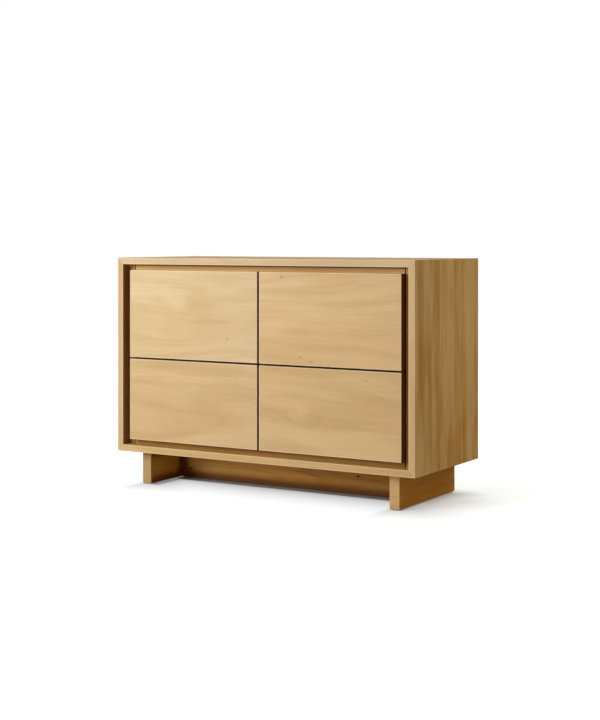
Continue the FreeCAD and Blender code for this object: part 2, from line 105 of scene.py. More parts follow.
class Graph:
    """Adds shader nodes to one node tree with short calls."""

    EDGE_COSINES = (0.999, 0.9)
    GAP_LIGHT = (0.97, 0.70)
    MIX_INPUTS = (0, 6, 7)
    MIX_COLOUR = 2

    def __init__(self, tree: bpy.types.NodeTree) -> None:
        """Keeps the tree, of a material or of a node group, that the nodes go into."""
        self.tree = tree

    def add(self, kind: str, *values: Value, **settings: object) -> bpy.types.Node:
        """Adds one node.

        Args:
            kind: The node's type name.
            *values: What its first inputs take, in order.
            **settings: Properties of the node that are not sockets.

        Returns:
            The new node.
        """
        node = self.tree.nodes.new(kind)
        for name, value in settings.items():
            setattr(node, name, value)
        for socket, value in zip(node.inputs, values):
            self.feed(socket, value)
        return node

    def feed(self, socket: Socket, value: Value) -> None:
        """Links a socket to another one, or sets its own value.

        Args:
            socket: The input to fill.
            value: An output to link, or a plain number, vector or colour.
        """
        if isinstance(value, bpy.types.NodeSocket):
            self.tree.links.new(value, socket)
        elif isinstance(value, (int, float)):
            socket.default_value = value
        else:
            plain = tuple(value)
            socket.default_value = plain + (1.0,) if socket.type == "RGBA" else plain

    def fill(self, node: bpy.types.Node, values: dict[str, Value]) -> bpy.types.Node:
        """Fills some of a node's inputs by their names.

        Args:
            node: The node.
            values: What each named input takes.

        Returns:
            The same node.
        """
        for name, value in values.items():
            self.feed(node.inputs[name], value)
        return node

    def sum(self, operation: str, *values: Value, clamp: bool = False) -> Socket:
        """One step of arithmetic on numbers, held between 0 and 1 if it is clamped."""
        return self.add("ShaderNodeMath", *values, operation=operation, use_clamp=clamp).outputs[0]

    def chain(self, operation: str, *values: Value) -> Value:
        """Joins any number of numbers by one kind of sum, from left to right."""
        return reduce(lambda done, value: self.sum(operation, done, value), values)

    def plus(self, *values: Value) -> Value:
        """Adds numbers up."""
        return self.chain("ADD", *values)

    def minus(self, first: Value, second: Value) -> Socket:
        """Takes the second number from the first."""
        return self.sum("SUBTRACT", first, second)

    def times(self, *values: Value) -> Value:
        """Multiplies numbers."""
        return self.chain("MULTIPLY", *values)

    def sway(self, value: Value, width: Value) -> Value:
        """Turns a number about 0.5 into one about 0, scaled to a width."""
        return self.times(self.minus(value, 0.5), width)

    def vector(self, operation: str, *values: Value) -> Socket:
        """One step of arithmetic on vectors; LENGTH and DOT_PRODUCT give a number."""
        node = self.add("ShaderNodeVectorMath", *values, operation=operation)
        return node.outputs["Value" if operation in ("LENGTH", "DOT_PRODUCT") else "Vector"]

    def split(self, vector: Socket) -> list[Socket]:
        """Takes a vector or colour apart into its three numbers."""
        return list(self.add("ShaderNodeSeparateXYZ", vector).outputs)

    def join(self, *values: Value) -> Socket:
        """Makes a vector of three numbers."""
        return self.add("ShaderNodeCombineXYZ", *values).outputs[0]

    def step(self, value: Value, low: float, high: float, start: float = 0.0, end: float = 1.0) -> Socket:
        """A smooth step from a start level to an end level, while the value goes from low to high."""
        values = (value, low, high, start, end)
        return self.add("ShaderNodeMapRange", *values, interpolation_type="SMOOTHSTEP").outputs[0]

    def noise(
        self, place: Value, scale: float | Triple, detail: float = 2.0, rough: float = 0.5
    ) -> Socket:
        """Smooth noise about 0.5.

        Args:
            place: Where the noise is read.
            scale: Lumps per unit of length, one number or one for each axis.
            detail: How many finer layers are added.
            rough: How strong each finer layer is.

        Returns:
            The noise as a number.
        """
        if isinstance(scale, tuple):
            place, scale = self.vector("MULTIPLY", place, scale), 1.0
        values = {"Vector": place, "Scale": scale, "Detail": detail, "Roughness": rough}
        return self.fill(self.add("ShaderNodeTexNoise"), values).outputs[0]

    def blend(self, factor: Value, first: Value, second: Value) -> Socket:
        """Mixes two colours.

        Args:
            factor: The share of the second colour.
            first: The colour below.
            second: The colour above.

        Returns:
            The mixed colour.
        """
        node = self.add("ShaderNodeMix", data_type="RGBA", clamp_factor=True)
        for place, value in zip(self.MIX_INPUTS, (factor, first, second)):
            self.feed(node.inputs[place], value)
        return node.outputs[self.MIX_COLOUR]

    def bump(self, height: Value, strength: float, distance: float, normal: Value | None = None) -> Socket:
        """Turns a height into a surface normal.

        Args:
            height: The height at each point.
            strength: How much of it shows.
            distance: The height's real size in metres.
            normal: The surface normal that it is added to, if not the plain one.

        Returns:
            The bumped normal.
        """
        values = {"Strength": strength, "Distance": distance, "Height": height}
        if normal is not None:
            values["Normal"] = normal
        return self.fill(self.add("ShaderNodeBump"), values).outputs[0]

    def place(self) -> Socket:
        """The object's own coordinates."""
        return self.add("ShaderNodeTexCoord").outputs["Object"]

    def rounded(self, radius: float) -> tuple[Socket, Socket]:
        """Finds the edges of a piece and softens the light on them.

        Args:
            radius: How far from an edge it reaches, in metres.

        Returns:
            The softened normal, and a mask that is 1 on the edges.
        """
        soft = self.fill(self.add("ShaderNodeBevel", samples=4), {"Radius": radius}).outputs[0]
        flat = self.add("ShaderNodeNewGeometry").outputs["Normal"]
        return soft, self.step(self.vector("DOT_PRODUCT", soft, flat), *self.EDGE_COSINES)

    def closed_in(self, reach: float) -> Socket:
        """A mask that is 1 in a narrow gap, by what stands within reach, and 0 on a free face."""
        node = self.fill(self.add("ShaderNodeAmbientOcclusion", samples=8), {"Distance": reach})
        return self.step(node.outputs["AO"], *self.GAP_LIGHT)


def new_material(name: str) -> tuple[bpy.types.Material, Graph, bpy.types.Node]:
    """Starts a material with one surface shader.

    Args:
        name: The material's name.

    Returns:
        The material, its graph and its shader node.
    """
    material = bpy.data.materials.new(name)
    material.use_nodes = True
    return material, Graph(material.node_tree), material.node_tree.nodes["Principled BSDF"]


@dataclass(frozen=True)
class Site:
    """Where a board's finish is laid out: a graph, the object's coordinates and the board's box."""

    g: Graph
    place: Socket
    low: Vector
    high: Vector

    def behind(self, depth: float, fade: float, ahead: float = 0.0, after: float = 1.0) -> Socket:
        """A step from one level to another at a depth behind the board's front edge."""
        start = self.low.y + depth
        return self.g.step(self.g.split(self.place)[1], start, start + fade, ahead, after)

    def inset(self, axes: str) -> Socket:
        """Finds how far a point lies inside the board along some of its axes.

        Args:
            axes: The letters of the axes that count.

        Returns:
            The distance to the nearest of those faces in metres, more than 0 inside.
        """
        g = self.g
        off = g.vector("ABSOLUTE", g.vector("SUBTRACT", self.place, (self.low + self.high) / 2))
        depths = g.split(g.vector("SUBTRACT", (self.high - self.low) / 2, off))
        return g.chain("MINIMUM", *(depths["XYZ".index(axis)] for axis in axes))


class Mark(ABC):
    """A part of a board where shade or a highlight is painted into its colour, as in the depth of a gap."""

    FADE = 0.3 * MM

    @abstractmethod
    def share(self, site: Site) -> Socket:
        """Finds how much of the other colour each point takes.

        Args:
            site: The board.

        Returns:
            The share, from 0 to 1.
        """


@dataclass(frozen=True)
class RimStain(Mark):
    """Painted shade on the narrow faces of a board that lie in a gap; the edge on its bare side is left out.
    """

    axes: str = "XZ"
    bare: Row | None = None
    start: float = 0.05 * MM
    reach: float = 1.45 * MM
    strength: float = 0.97

    def share(self, site: Site) -> Socket:
        """Finds how near each point is to the rim.

        Args:
            site: The board.

        Returns:
            The share of the painted shade, from 0 to 1.
        """
        spare = Vector((0.0, 0.0, site.high.z - site.low.z))
        if self.bare is Row.UPPER:
            site = replace(site, high=site.high + spare)
        elif self.bare is Row.LOWER:
            site = replace(site, low=site.low - spare)
        rim = site.g.step(site.inset(self.axes), self.reach, self.reach + self.FADE, self.strength, 0.0)
        return site.g.times(site.behind(self.start, self.FADE), rim)


@dataclass(frozen=True)
class RecessStain(Mark):
    """Painted shade on the inner face of a case board or foot, from near its front edge back to a depth."""

    axis: int
    side: int
    wall: float = 20.0 * MM
    start: float = 1.6 * MM
    depth: float = 30.0 * MM
    strength: float = 0.5

    def share(self, site: Site) -> Socket:
        """Finds which points lie on the inner face.

        Args:
            site: The board.

        Returns:
            The share of the painted shade, from 0 to 1.
        """
        g = site.g
        face = (site.high if self.side > 0 else site.low)[self.axis] - self.side * self.wall
        inner = g.times(g.minus(g.split(site.place)[self.axis], face), -self.side)
        near = g.step(inner, -2 * self.FADE, -self.FADE)
        until = site.behind(self.depth, self.FADE, self.strength, 0.0)
        return g.times(site.behind(self.start, self.FADE), near, until)


@dataclass(frozen=True)
class EdgeShade(Mark):
    """A soft shade that fades from one edge of a board: the upper one, the lower one or an end."""

    FULL = 0.3

    side: int
    reach: float
    strength: float
    axis: int = 2

    def share(self, site: Site) -> Socket:
        """Finds how near each point is to the edge.

        Args:
            site: The board.

        Returns:
            The share of the painted shade, from 0 to 1.
        """
        edge = (site.high if self.side > 0 else site.low)[self.axis]
        faint = edge - self.side * self.reach
        full = edge - self.FULL * self.side * self.reach
        return site.g.step(site.g.split(site.place)[self.axis], faint, full, 0.0, self.strength)


@dataclass(frozen=True)
class PaleRim(Mark):
    """A painted highlight: the pale line that light on the eased edges of a front face gives."""

    axes: str = "XZ"
    width: float = 3.6 * MM
    depth: float = 0.4 * MM
    strength: float = 0.85

    def share(self, site: Site) -> Socket:
        """Finds how pale each point of the face is.

        Args:
            site: The board.

        Returns:
            The share of the highlight colour, from 0 to 1.
        """
        before = site.behind(self.depth, self.depth, self.strength, 0.0)
        rim = site.g.step(site.inset(self.axes), 0.5 * self.width, self.width, 1.0, 0.0)
        return site.g.times(before, rim)


@dataclass(frozen=True)
class Eye:
    """A place where the figure bends round a knot, small and dark or wide and faint."""

    along: float
    across: float
    reach: float
    lift: float
    dark: float = 0.0
    warm: float = 0.0
    stretch: float = 2.5


@dataclass(frozen=True)
class WoodTone:
    """The colours of one kind of wood, of the shade and highlight painted on it, and how its finish takes
    the light.
    """

    pale: Colour
    body: Colour
    late: Colour
    # Colour of the shade painted into gaps, recesses and under edges
    stain: Colour = (0.12, 0.050, 0.010)
    knot: Colour = (0.10, 0.055, 0.022)
    # Pale colour of edges: partly wear, partly a painted highlight
    arris: Colour = (0.94, 0.76, 0.53)
    roughness: float = 0.55
    specular: float = 0.14


@dataclass(frozen=True)
class Board:
    """How one board was sawn out of its log, and the shade, light and highlight painted on it."""

    grain: Grain
    seed: float
    stave_width: float = 0.5
    stave_contrast: float = 0.0
    ring_width: float = 0.011
    pith_depth: float = 0.05
    taper: float = 0.035
    swirl: float = 0.02
    figure: float = 0.55
    eyes: tuple[Eye, ...] = ()
    # Tone of the board's front edge face, set lighter or darker per board: painted light and shade
    lipping: WoodTone | None = None
    # How much the edges pale: partly wear, partly a painted highlight
    wear: float = 0.3
    streaks: float = 0.0
    stains: tuple[Mark, ...] = ()
    rim: PaleRim | None = None
    end_grain: float = 0.0


class SolidWood:
    """A wood finish that runs through the whole board, so faces, edges and end grain agree."""

    # The group's inputs, named for the fields that they come from
    SAWN = (
        "seed", "stave_width", "stave_contrast", "ring_width", "pith_depth", "taper", "swirl", "figure",
        "wear", "streaks",
    )
    PLACED = ("lift", "dark", "warm", "rim", "gap")
    COLOURS = ("pale", "body", "late", "stain", "knot", "arris")
    INPUTS = {
        "NodeSocketVector": ("spot",),
        "NodeSocketFloat": (*SAWN, *PLACED, "roughness"),
        "NodeSocketColor": COLOURS,
    }
    OUTPUTS = {"Base Color": "NodeSocketColor", "Roughness": "NodeSocketFloat", "Normal": "NodeSocketVector"}

    EDGE_REACH = 2.0 * MM
    GLUE_LINE = 0.25 * MM
    LIPPING = 0.7 * MM
    GAP_REACH = 40.0 * MM

    # Steps: where each starts and ends, and its two levels where they are not 0 and 1
    VIGOUR = (0.2, 1.0, 0.1, 1.0)
    RING_RISE, RING_FALL = (0.2, 0.9), (0.9, 1.0, 1.0, 0.0)
    WIDE_STEP, LINED_STEP, CLOUD_STEP = (0.38, 0.72, 0.0, 0.85), (0.38, 0.64), (0.3, 0.7)
    PORE_STEP, PORE_IN_LATE = (0.66, 0.74), (0.0, 0.8, 1.0, 0.35)
    WEAR_STEP, END_STEP = (0.3, 0.6, 0.7, 1.0), (0.7, 0.95)
    EYE_SWELL, EYE_CORE, EYE_HALO = (0.0, 2.2, 1.0, 0.0), (0.35, 1.0), (0.3, 1.2)

    # How much of each shows in the colour
    LINE_SHARE, PORE_SHARE, STREAK_SWAY, FIBRE_SWAY, GLUE_DARK = 0.40, 0.4, 0.9, 0.16, 0.2
    # How much of each shows in the height and in the roughness
    FIBRE_HEIGHT, LATE_HEIGHT, STREAK_DULL, PORE_DULL = 0.5, 0.25, 0.12, 0.1
    RELIEF = (0.12, 0.3 * MM)
    # How fine and how strong the ragged outline of an eye is, beside its reach
    EYE_RAGGED, EYE_RAGGED_SWAY = 0.6, 0.9

    # How far a board's seed and a stave's own draw move the figure, across and along
    SEED_ACROSS, SEED_ALONG, DRAW_ALONG = 1.37, 3.1, 5.0
    # How far the rings bend and ripple beside the swirl, and the pith drifts beside the stave's width
    BEND, RIPPLE, DRIFT = 2.0, 0.22, 0.4
    # Each noise: lumps per metre along, across and through the board, layers of detail, their strength
    SLOW_BEND = ((2.2, 9.0, 9.0), 1.5, 0.45)
    QUICK_BEND = ((7.0, 55.0, 55.0), 2.0, 0.5)
    LINED = ((2.6, 11.0, 11.0), 1.0, 0.5)
    BAND = ((1.7, 36.0, 36.0), 4.0, 0.68)
    CLOUD = ((1.6, 6.0, 6.0), 3.0, 0.55)
    STREAK = ((2.4, 85.0, 85.0), 2.0, 0.6)
    FIBRE = ((22.0, 900.0, 900.0), 2.0, 0.6)
    PORE = ((140.0, 1500.0, 1500.0), 0.0, 0.5)
    # The same across the rings, along them and from board to board
    WIDE_RINGS = ((34.0, 2.4, 1.0), 2.0, 0.5)
    FINE_RINGS = ((210.0, 3.0, 1.0), 1.0, 0.5)

    def __init__(self) -> None:
        """Builds the node group that every board shares."""
        self.group = bpy.data.node_groups.new("solid_wood", "ShaderNodeTree")
        for kind, names in self.INPUTS.items():
            for name in names:
                self.group.interface.new_socket(name=name, in_out="INPUT", socket_type=kind)
        for name, kind in self.OUTPUTS.items():
            self.group.interface.new_socket(name=name, in_out="OUTPUT", socket_type=kind)
        self._fill(Graph(self.group))

    def _fill(self, g: Graph) -> None:
        """Lays out staves, growth rings, fibres and pores in the group.

        Args:
            g: The group's graph.
        """
        given = g.add("NodeGroupInput").outputs
        u, v, w = g.split(given["spot"])
        seed, width = given["seed"], given["stave_width"]

        # Staves, each from its own place in the log
        place = g.plus(g.sum("DIVIDE", v, width), g.times(seed, self.SEED_ACROSS))
        stave, seam = (
            g.fill(
                g.add("ShaderNodeTexVoronoi", voronoi_dimensions="1D", feature=feature),
                {"W": place, "Scale": 1.0, "Randomness": 0.6},
            )
            for feature in ("F1", "DISTANCE_TO_EDGE")
        )
        draw_a, draw_b, draw_c = g.split(stave.outputs["Color"])
        own_v = g.times(g.minus(place, stave.outputs["W"]), width)
        own_u = g.plus(u, g.plus(g.times(draw_a, self.DRAW_ALONG), g.times(seed, self.SEED_ALONG)))

        # Growth rings round a pith that wanders
        log = g.join(own_u, own_v, w)
        bend = g.sway(g.noise(log, *self.SLOW_BEND), g.times(given["swirl"], self.BEND))
        ripple = g.sway(g.noise(log, *self.QUICK_BEND), g.times(given["swirl"], self.RIPPLE))
        aside = g.sway(draw_b, g.times(width, self.DRIFT))
        off_pith = g.vector("LENGTH", g.join(g.plus(own_v, aside), g.plus(w, given["pith_depth"]), 0.0))
        radius = g.plus(off_pith, g.times(own_u, given["taper"]), g.plus(bend, ripple), given["lift"])
        count = g.sum("DIVIDE", radius, given["ring_width"])
        phase = g.sum("FRACT", count)
        year = g.add("ShaderNodeTexWhiteNoise", noise_dimensions="1D")
        g.feed(year.inputs["W"], g.plus(g.sum("FLOOR", count), seed))
        vigour = g.step(year.outputs["Value"], *self.VIGOUR)
        line = g.times(g.step(phase, *self.RING_RISE), g.step(phase, *self.RING_FALL), vigour)

        # Late wood: wide rings, fine lines in some places, and bands along the board
        rings = g.join(radius, own_u, seed)
        wide = g.step(g.noise(rings, *self.WIDE_RINGS), *self.WIDE_STEP)
        fine = g.minus(g.noise(rings, *self.FINE_RINGS), 0.5)
        spot = g.join(own_u, v, w)
        lined = g.step(g.noise(spot, *self.LINED), *self.LINED_STEP)
        band = g.sway(g.noise(spot, *self.BAND), given["streaks"])
        late = g.plus(wide, g.times(g.plus(g.times(line, self.LINE_SHARE), fine), lined))
        late = g.sum("ADD", late, band, clamp=True)

        # Colours, from the body of the wood to its knots
        cloud, streak, fibre, dash = (
            g.noise(spot, *kind) for kind in (self.CLOUD, self.STREAK, self.FIBRE, self.PORE)
        )
        pore = g.times(g.step(dash, *self.PORE_STEP), g.step(late, *self.PORE_IN_LATE))
        tone = g.sum("ADD", g.step(cloud, *self.CLOUD_STEP), g.sway(streak, self.STREAK_SWAY), clamp=True)
        colour = g.blend(tone, given["pale"], given["body"])
        for share in (
            g.times(late, given["figure"]),
            g.times(pore, self.PORE_SHARE),
            given["warm"],
            g.times(draw_b, given["stave_contrast"]),
        ):
            colour = g.blend(share, colour, given["late"])
        seam_width = g.times(seam.outputs["Distance"], width)
        glue = g.step(seam_width, 0.0, self.GLUE_LINE, self.GLUE_DARK, 0.0)
        shade = g.plus(g.sway(draw_c, given["stave_contrast"]), g.sway(fibre, self.FIBRE_SWAY))
        colour = g.vector("MULTIPLY", colour, g.plus(g.minus(shade, glue), 1.0))
        colour = g.blend(given["dark"], colour, given["knot"])

        # Painted shade in gaps and recesses, edges paled partly by wear and partly by a painted highlight,
        # and how the surface takes the light
        normal, edge = g.rounded(self.EDGE_REACH)
        worn = g.times(edge, given["wear"], g.step(streak, *self.WEAR_STEP))
        light = g.times(g.sum("MAXIMUM", worn, given["rim"]), g.minus(1.0, given["gap"]))
        colour = g.blend(given["gap"], colour, given["stain"])
        grain = g.plus(g.times(fibre, self.FIBRE_HEIGHT), g.times(late, self.LATE_HEIGHT))
        streaky, pitted = g.sway(streak, self.STREAK_DULL), g.times(pore, self.PORE_DULL)
        result = {
            "Base Color": g.blend(light, colour, given["arris"]),
            "Roughness": g.plus(given["roughness"], streaky, pitted),
            "Normal": g.bump(g.minus(grain, pore), *self.RELIEF, normal),
        }
        g.fill(g.add("NodeGroupOutput"), result)

    def material(
        self, name: str, tone: WoodTone, board: Board, low: Vector, high: Vector
    ) -> bpy.types.Material:
        """Makes the finish of one board.

        Args:
            name: The board's name.
            tone: The wood's colours.
            board: How the board was sawn.
            low: The board's lowest corner, in metres.
            high: The board's highest corner.

        Returns:
            The board's own material.
        """
        material, g, shader = new_material(f"wood_{name}")
        site = Site(g, g.place(), low, high)
        centre = (low + high) / 2
        own = g.split(g.vector("SUBTRACT", site.place, centre))
        order = ["XYZ".index(axis) for axis in board.grain.value]
        spot = g.join(*(own[axis] for axis in order))
        lift, dark, warm = self._eyes(g, spot, board.eyes, [centre[axis] for axis in order])
        if board.end_grain > 0:
            along = g.split(g.add("ShaderNodeTexCoord").outputs["Normal"])[order[0]]
            ends = g.step(g.sum("ABSOLUTE", along), *self.END_STEP, 0.0, board.end_grain)
            warm = g.sum("MAXIMUM", warm, ends)
        values = {item: getattr(board, item) for item in self.SAWN}
        values |= {item: getattr(tone, item) for item in (*self.COLOURS, "roughness")}
        # The front edge face takes its own tone, with the light and shade on it painted in
        if board.lipping:
            painted_edge = site.behind(self.LIPPING, self.LIPPING, 1.0, 0.0)
            for item in ("pale", "body", "late"):
                values[item] = g.blend(painted_edge, values[item], getattr(board.lipping, item))
        values |= {"spot": spot, "lift": lift, "dark": dark, "warm": warm}
        values["rim"] = board.rim.share(site) if board.rim else 0.0
        values["gap"] = self._gap(site, board.stains)
        wood = g.fill(g.add("ShaderNodeGroup", node_tree=self.group), values)
        for item in self.OUTPUTS:
            g.feed(shader.inputs[item], wood.outputs[item])
        g.feed(shader.inputs["Specular IOR Level"], tone.specular)
        return material

    def _gap(self, site: Site, stains: Sequence[Mark]) -> Value:
        """Takes the darkest of a board's painted shades at each point that is closed in.

        Args:
            site: The board.
            stains: Its painted shades.

        Returns:
            The share of the painted shade, from 0 to 1.
        """
        if not stains:
            return 0.0
        share = site.g.chain("MAXIMUM", 0.0, *(stain.share(site) for stain in stains))
        return site.g.times(share, site.g.closed_in(self.GAP_REACH))

    def _eyes(
        self, g: Graph, spot: Socket, eyes: Iterable[Eye], centre: Sequence[float]
    ) -> tuple[Value, Value, Value]:
        """Adds up how the eyes of a board bend and darken its figure.

        Args:
            g: The material's graph.
            spot: The board's own coordinates.
            eyes: The eyes, placed in the whole object's coordinates.
            centre: The board's middle, in the board's own order of axes.

        Returns:
            The shift of the growth rings in metres, and the shares of knot colour and of late wood.
        """
        lift: Value = 0.0
        dark: Value = 0.0
        warm: Value = 0.0
        for eye in eyes:
            away = g.vector("SUBTRACT", spot, (eye.along - centre[0], eye.across - centre[1], 0.0))
            shrink = (1.0 / (eye.reach * eye.stretch), 1.0 / eye.reach, 0.0)
            ragged = g.sway(g.noise(spot, self.EYE_RAGGED / eye.reach), self.EYE_RAGGED_SWAY)
            reach = g.plus(g.vector("LENGTH", g.vector("MULTIPLY", away, shrink)), ragged)
            lift = g.plus(lift, g.times(g.step(reach, *self.EYE_SWELL), eye.lift))
            if eye.dark > 0:
                dark = g.sum("MAXIMUM", dark, g.step(reach, *self.EYE_CORE, eye.dark, 0.0))
            if eye.warm > 0:
                warm = g.sum("MAXIMUM", warm, g.step(reach, *self.EYE_HALO, eye.warm, 0.0))
        return lift, dark, warm


@dataclass(frozen=True)
class Steel:
    """Bright zinc on rolled steel, with faint lines along the rolling."""

    colour: Colour = (0.57, 0.58, 0.60)
    stain: Colour = (0.51, 0.52, 0.545)
    roughness: float = 0.34
    worn: Colour = (0.78, 0.78, 0.79)
    rolling: Triple = (1400.0, 18.0, 1400.0)
    bloom: float = 160.0
    edge_reach: float = 0.5 * MM
    edge_wear: float = 0.4
    dull_lines: float = 0.22
    relief: tuple[float, float] = (0.08, 0.05 * MM)

    def material(self, name: str) -> bpy.types.Material:
        """Makes the finish.

        Args:
            name: The material's name.

        Returns:
            The steel material.
        """
        material, g, shader = new_material(name)
        place = g.place()
        lines = g.noise(place, self.rolling, 2.0, 0.6)
        bloom = g.step(g.noise(place, self.bloom, 3.0, 0.6), 0.35, 0.75)
        normal, edge = g.rounded(self.edge_reach)
        zinc = g.blend(bloom, self.colour, self.stain)
        values = {
            "Base Color": g.blend(g.times(edge, self.edge_wear), zinc, self.worn),
            "Roughness": g.plus(self.roughness, g.sway(lines, self.dull_lines)),
            "Normal": g.bump(lines, *self.relief, normal),
            "Metallic": 1.0,
        }
        g.fill(shader, values)
        return material


@dataclass(frozen=True)
class PressedFelt:
    """Grey-brown pressed wool felt."""

    colour: Colour = (0.16, 0.13, 0.10)
    fleck: Colour = (0.30, 0.26, 0.21)
    wool: float = 2600.0
    tuft: float = 420.0
    tuft_share: float = 0.3
    relief: tuple[float, float] = (0.7, 0.3 * MM)

    def material(self, name: str) -> bpy.types.Material:
        """Makes the finish.

        Args:
            name: The material's name.

        Returns:
            The felt material.
        """
        material, g, shader = new_material(name)
        place = g.place()
        wool = g.noise(place, self.wool, 3.0, 0.7)
        tuft = g.times(g.noise(place, self.tuft), self.tuft_share)
        flecked = g.blend(g.step(wool, 0.45, 0.72), self.colour, self.fleck)
        values = {
            "Base Color": g.blend(tuft, flecked, self.colour),
            "Normal": g.bump(wool, *self.relief),
            "Roughness": 0.95,
            "Sheen Weight": 0.3,
        }
        g.fill(shader, values)
        return material


@dataclass(frozen=True)
class SoftClear:
    """Milky soft plastic, as on stick-on bumpers."""

    colour: Colour = (0.78, 0.76, 0.70)
    cloudy: Colour = (0.68, 0.66, 0.60)
    cloud: float = 700.0

    def material(self, name: str) -> bpy.types.Material:
        """Makes the finish.

        Args:
            name: The material's name.

        Returns:
            The plastic material.
        """
        material, g, shader = new_material(name)
        cloud = g.noise(g.place(), self.cloud)
        values = {
            "Base Color": g.blend(g.step(cloud, 0.35, 0.7), self.colour, self.cloudy),
            "Roughness": g.step(cloud, 0.2, 0.8, 0.22, 0.36),
            "Transmission Weight": 0.35,
        }
        g.fill(shader, values)
        return material


def deselect() -> None:
    """Leaves nothing selected, so that the next operator reaches only its own piece."""
    if bpy.context.mode != "OBJECT":
        bpy.ops.object.mode_set(mode="OBJECT")
    bpy.ops.object.select_all(action="DESELECT")


class Workpiece:
    """One mesh that is started from a primitive and shaped with edit-mode operators."""

    # How far a face's normal rises if the face counts as a top, or falls if it counts as a bottom
    LEVEL = 0.9
    # The most that it rises or falls if the face counts as a side
    UPRIGHT = 0.5

    def __init__(self, name: str, primitive: Callable[..., object], **settings: object) -> None:
        """Adds the primitive to work on.

        Args:
            name: The piece's name.
            primitive: The operator that adds it.
            **settings: What the operator takes.
        """
        deselect()
        primitive(**settings)
        self.item = bpy.context.active_object
        self._name(name)
        bpy.ops.object.transform_apply(location=True, rotation=True, scale=True)

    @classmethod
    def disc(cls, name: str, radius: float, height: float, sides: int) -> "Workpiece":
        """Starts from a round disc that stands on level 0."""
        size = dict(vertices=sides, radius=radius, depth=height)
        return cls(name, bpy.ops.mesh.primitive_cylinder_add, location=(0.0, 0.0, height / 2), **size)

    def faces(self, test: Callable[[float], bool]) -> None:
        """Selects the faces whose normal's rise passes a test.

        Args:
            test: Says of the Z part of a face's normal whether the face is wanted.
        """
        self._edit("FACE")
        for face in self.item.data.polygons:
            face.select = test(face.normal.z)
        bpy.ops.object.mode_set(mode="EDIT")

    def top(self) -> None:
        """Selects the faces that look up."""
        self.faces(lambda rise: rise > self.LEVEL)

    def bottom(self) -> None:
        """Selects the faces that look down."""
        self.faces(lambda rise: rise < -self.LEVEL)

    def edges(self, test: Callable[[Vector, Vector], bool]) -> None:
        """Selects the edges whose two ends pass a test.

        Args:
            test: Says of an edge's two ends whether it is wanted.
        """
        self._edit("EDGE")
        points = self.item.data.vertices
        for edge in self.item.data.edges:
            edge.select = test(*(points[end].co for end in edge.vertices))
        bpy.ops.object.mode_set(mode="EDIT")

    def ring(self, inward: float, rise: float) -> None:
        """Insets the selected face and moves what is left of it along Z."""
        bpy.ops.mesh.inset(thickness=inward, depth=0.0)
        bpy.ops.transform.translate(value=(0.0, 0.0, rise))

    def pull(self, rise: float, scale: float) -> None:
        """Extrudes the selected face along Z and scales its end about the Z axis."""
        bpy.ops.mesh.extrude_region_move(TRANSFORM_OT_translate={"value": (0.0, 0.0, rise)})
        bpy.ops.transform.resize(value=(scale, scale, 1.0), center_override=(0.0, 0.0, 0.0))

    def cut_cross(self, level: float, wing: float, span: float, depth: float, taper: float) -> None:
        """Cuts the cross recess that a driver fits.

        Args:
            level: The height of the cross's middle, in metres.
            wing: Half the thickness of a wing.
            span: How far a wing reaches out.
            depth: How far the recess is let down.
            taper: How wide its floor is beside its mouth.
        """
        cube = bpy.ops.mesh.primitive_cube_add
        cross = Workpiece(f"{self.item.name}_recess", cube, size=2 * wing, location=(0.0, 0.0, level))
        cross.faces(lambda rise: abs(rise) < self.UPRIGHT)
        bpy.ops.mesh.extrude_faces_move(TRANSFORM_OT_shrink_fatten={"value": span})
        cross.bottom()
        bpy.ops.transform.translate(value=(0.0, 0.0, -depth))
        bpy.ops.transform.resize(value=(taper, taper, 1.0), center_override=(0.0, 0.0, 0.0))
        cross.close()
        self.apply("BOOLEAN", object=cross.item, operation="DIFFERENCE", solver="EXACT")
        bpy.data.objects.remove(cross.item)

    def apply(self, kind: str, **settings: object) -> None:
        """Adds a modifier and applies it.

        Args:
            kind: The modifier's type name.
            **settings: The modifier's own settings.
        """
        self._choose()
        modifier = self.item.modifiers.new(kind.lower(), kind)
        for name, value in settings.items():
            setattr(modifier, name, value)
        bpy.ops.object.modifier_apply(modifier=modifier.name)

    def take(self, *others: bpy.types.Object) -> None:
        """Joins other objects into this piece."""
        self._choose(*others)
        bpy.ops.object.join()

    def close(self, angle: float = 35.0) -> None:
        """Merges doubles, turns the faces outwards and smooths the shading.

        Args:
            angle: Edges sharper than this stay sharp, in degrees.
        """
        self._edit("VERT")
        bpy.ops.object.mode_set(mode="EDIT")
        bpy.ops.mesh.select_all(action="SELECT")
        bpy.ops.mesh.remove_doubles(threshold=1e-6)
        bpy.ops.mesh.normals_make_consistent(inside=False)
        self._choose()
        bpy.ops.object.shade_smooth_by_angle(angle=math.radians(angle))

    def spread(self, places: Iterable[Matrix]) -> bpy.types.Object:
        """Sets a copy of the piece at each place and joins them into one set.

        Args:
            places: Where each copy goes.

        Returns:
            The joined set, with its place in its mesh.
        """
        name = self.item.name
        copies = []
        for place in places:
            twin = self.item.copy()
            twin.data = self.item.data.copy()
            twin.data.transform(place)
            bpy.context.scene.collection.objects.link(twin)
            copies.append(twin)
        bpy.data.objects.remove(self.item)
        self.item = copies[0]
        self.take(*copies[1:])
        self._name(name)
        return self.item

    def _name(self, name: str) -> None:
        """Gives the object and its mesh one name."""
        self.item.name = name
        self.item.data.name = name

    def _choose(self, *others: bpy.types.Object) -> None:
        """Selects this piece as the active one, with any others.

        Args:
            *others: Objects that are selected beside it.
        """
        deselect()
        for item in (*others, self.item):
            item.select_set(True)
        bpy.context.view_layer.objects.active = self.item

    def _edit(self, kind: str) -> None:
        """Clears the selection inside the mesh and leaves it ready for a new one.

        Args:
            kind: Whether vertices, edges or faces are selected next.
        """
        self._choose()
        bpy.ops.object.mode_set(mode="EDIT")
        bpy.ops.mesh.select_mode(type=kind)
        bpy.ops.mesh.select_all(action="DESELECT")
        bpy.ops.object.mode_set(mode="OBJECT")


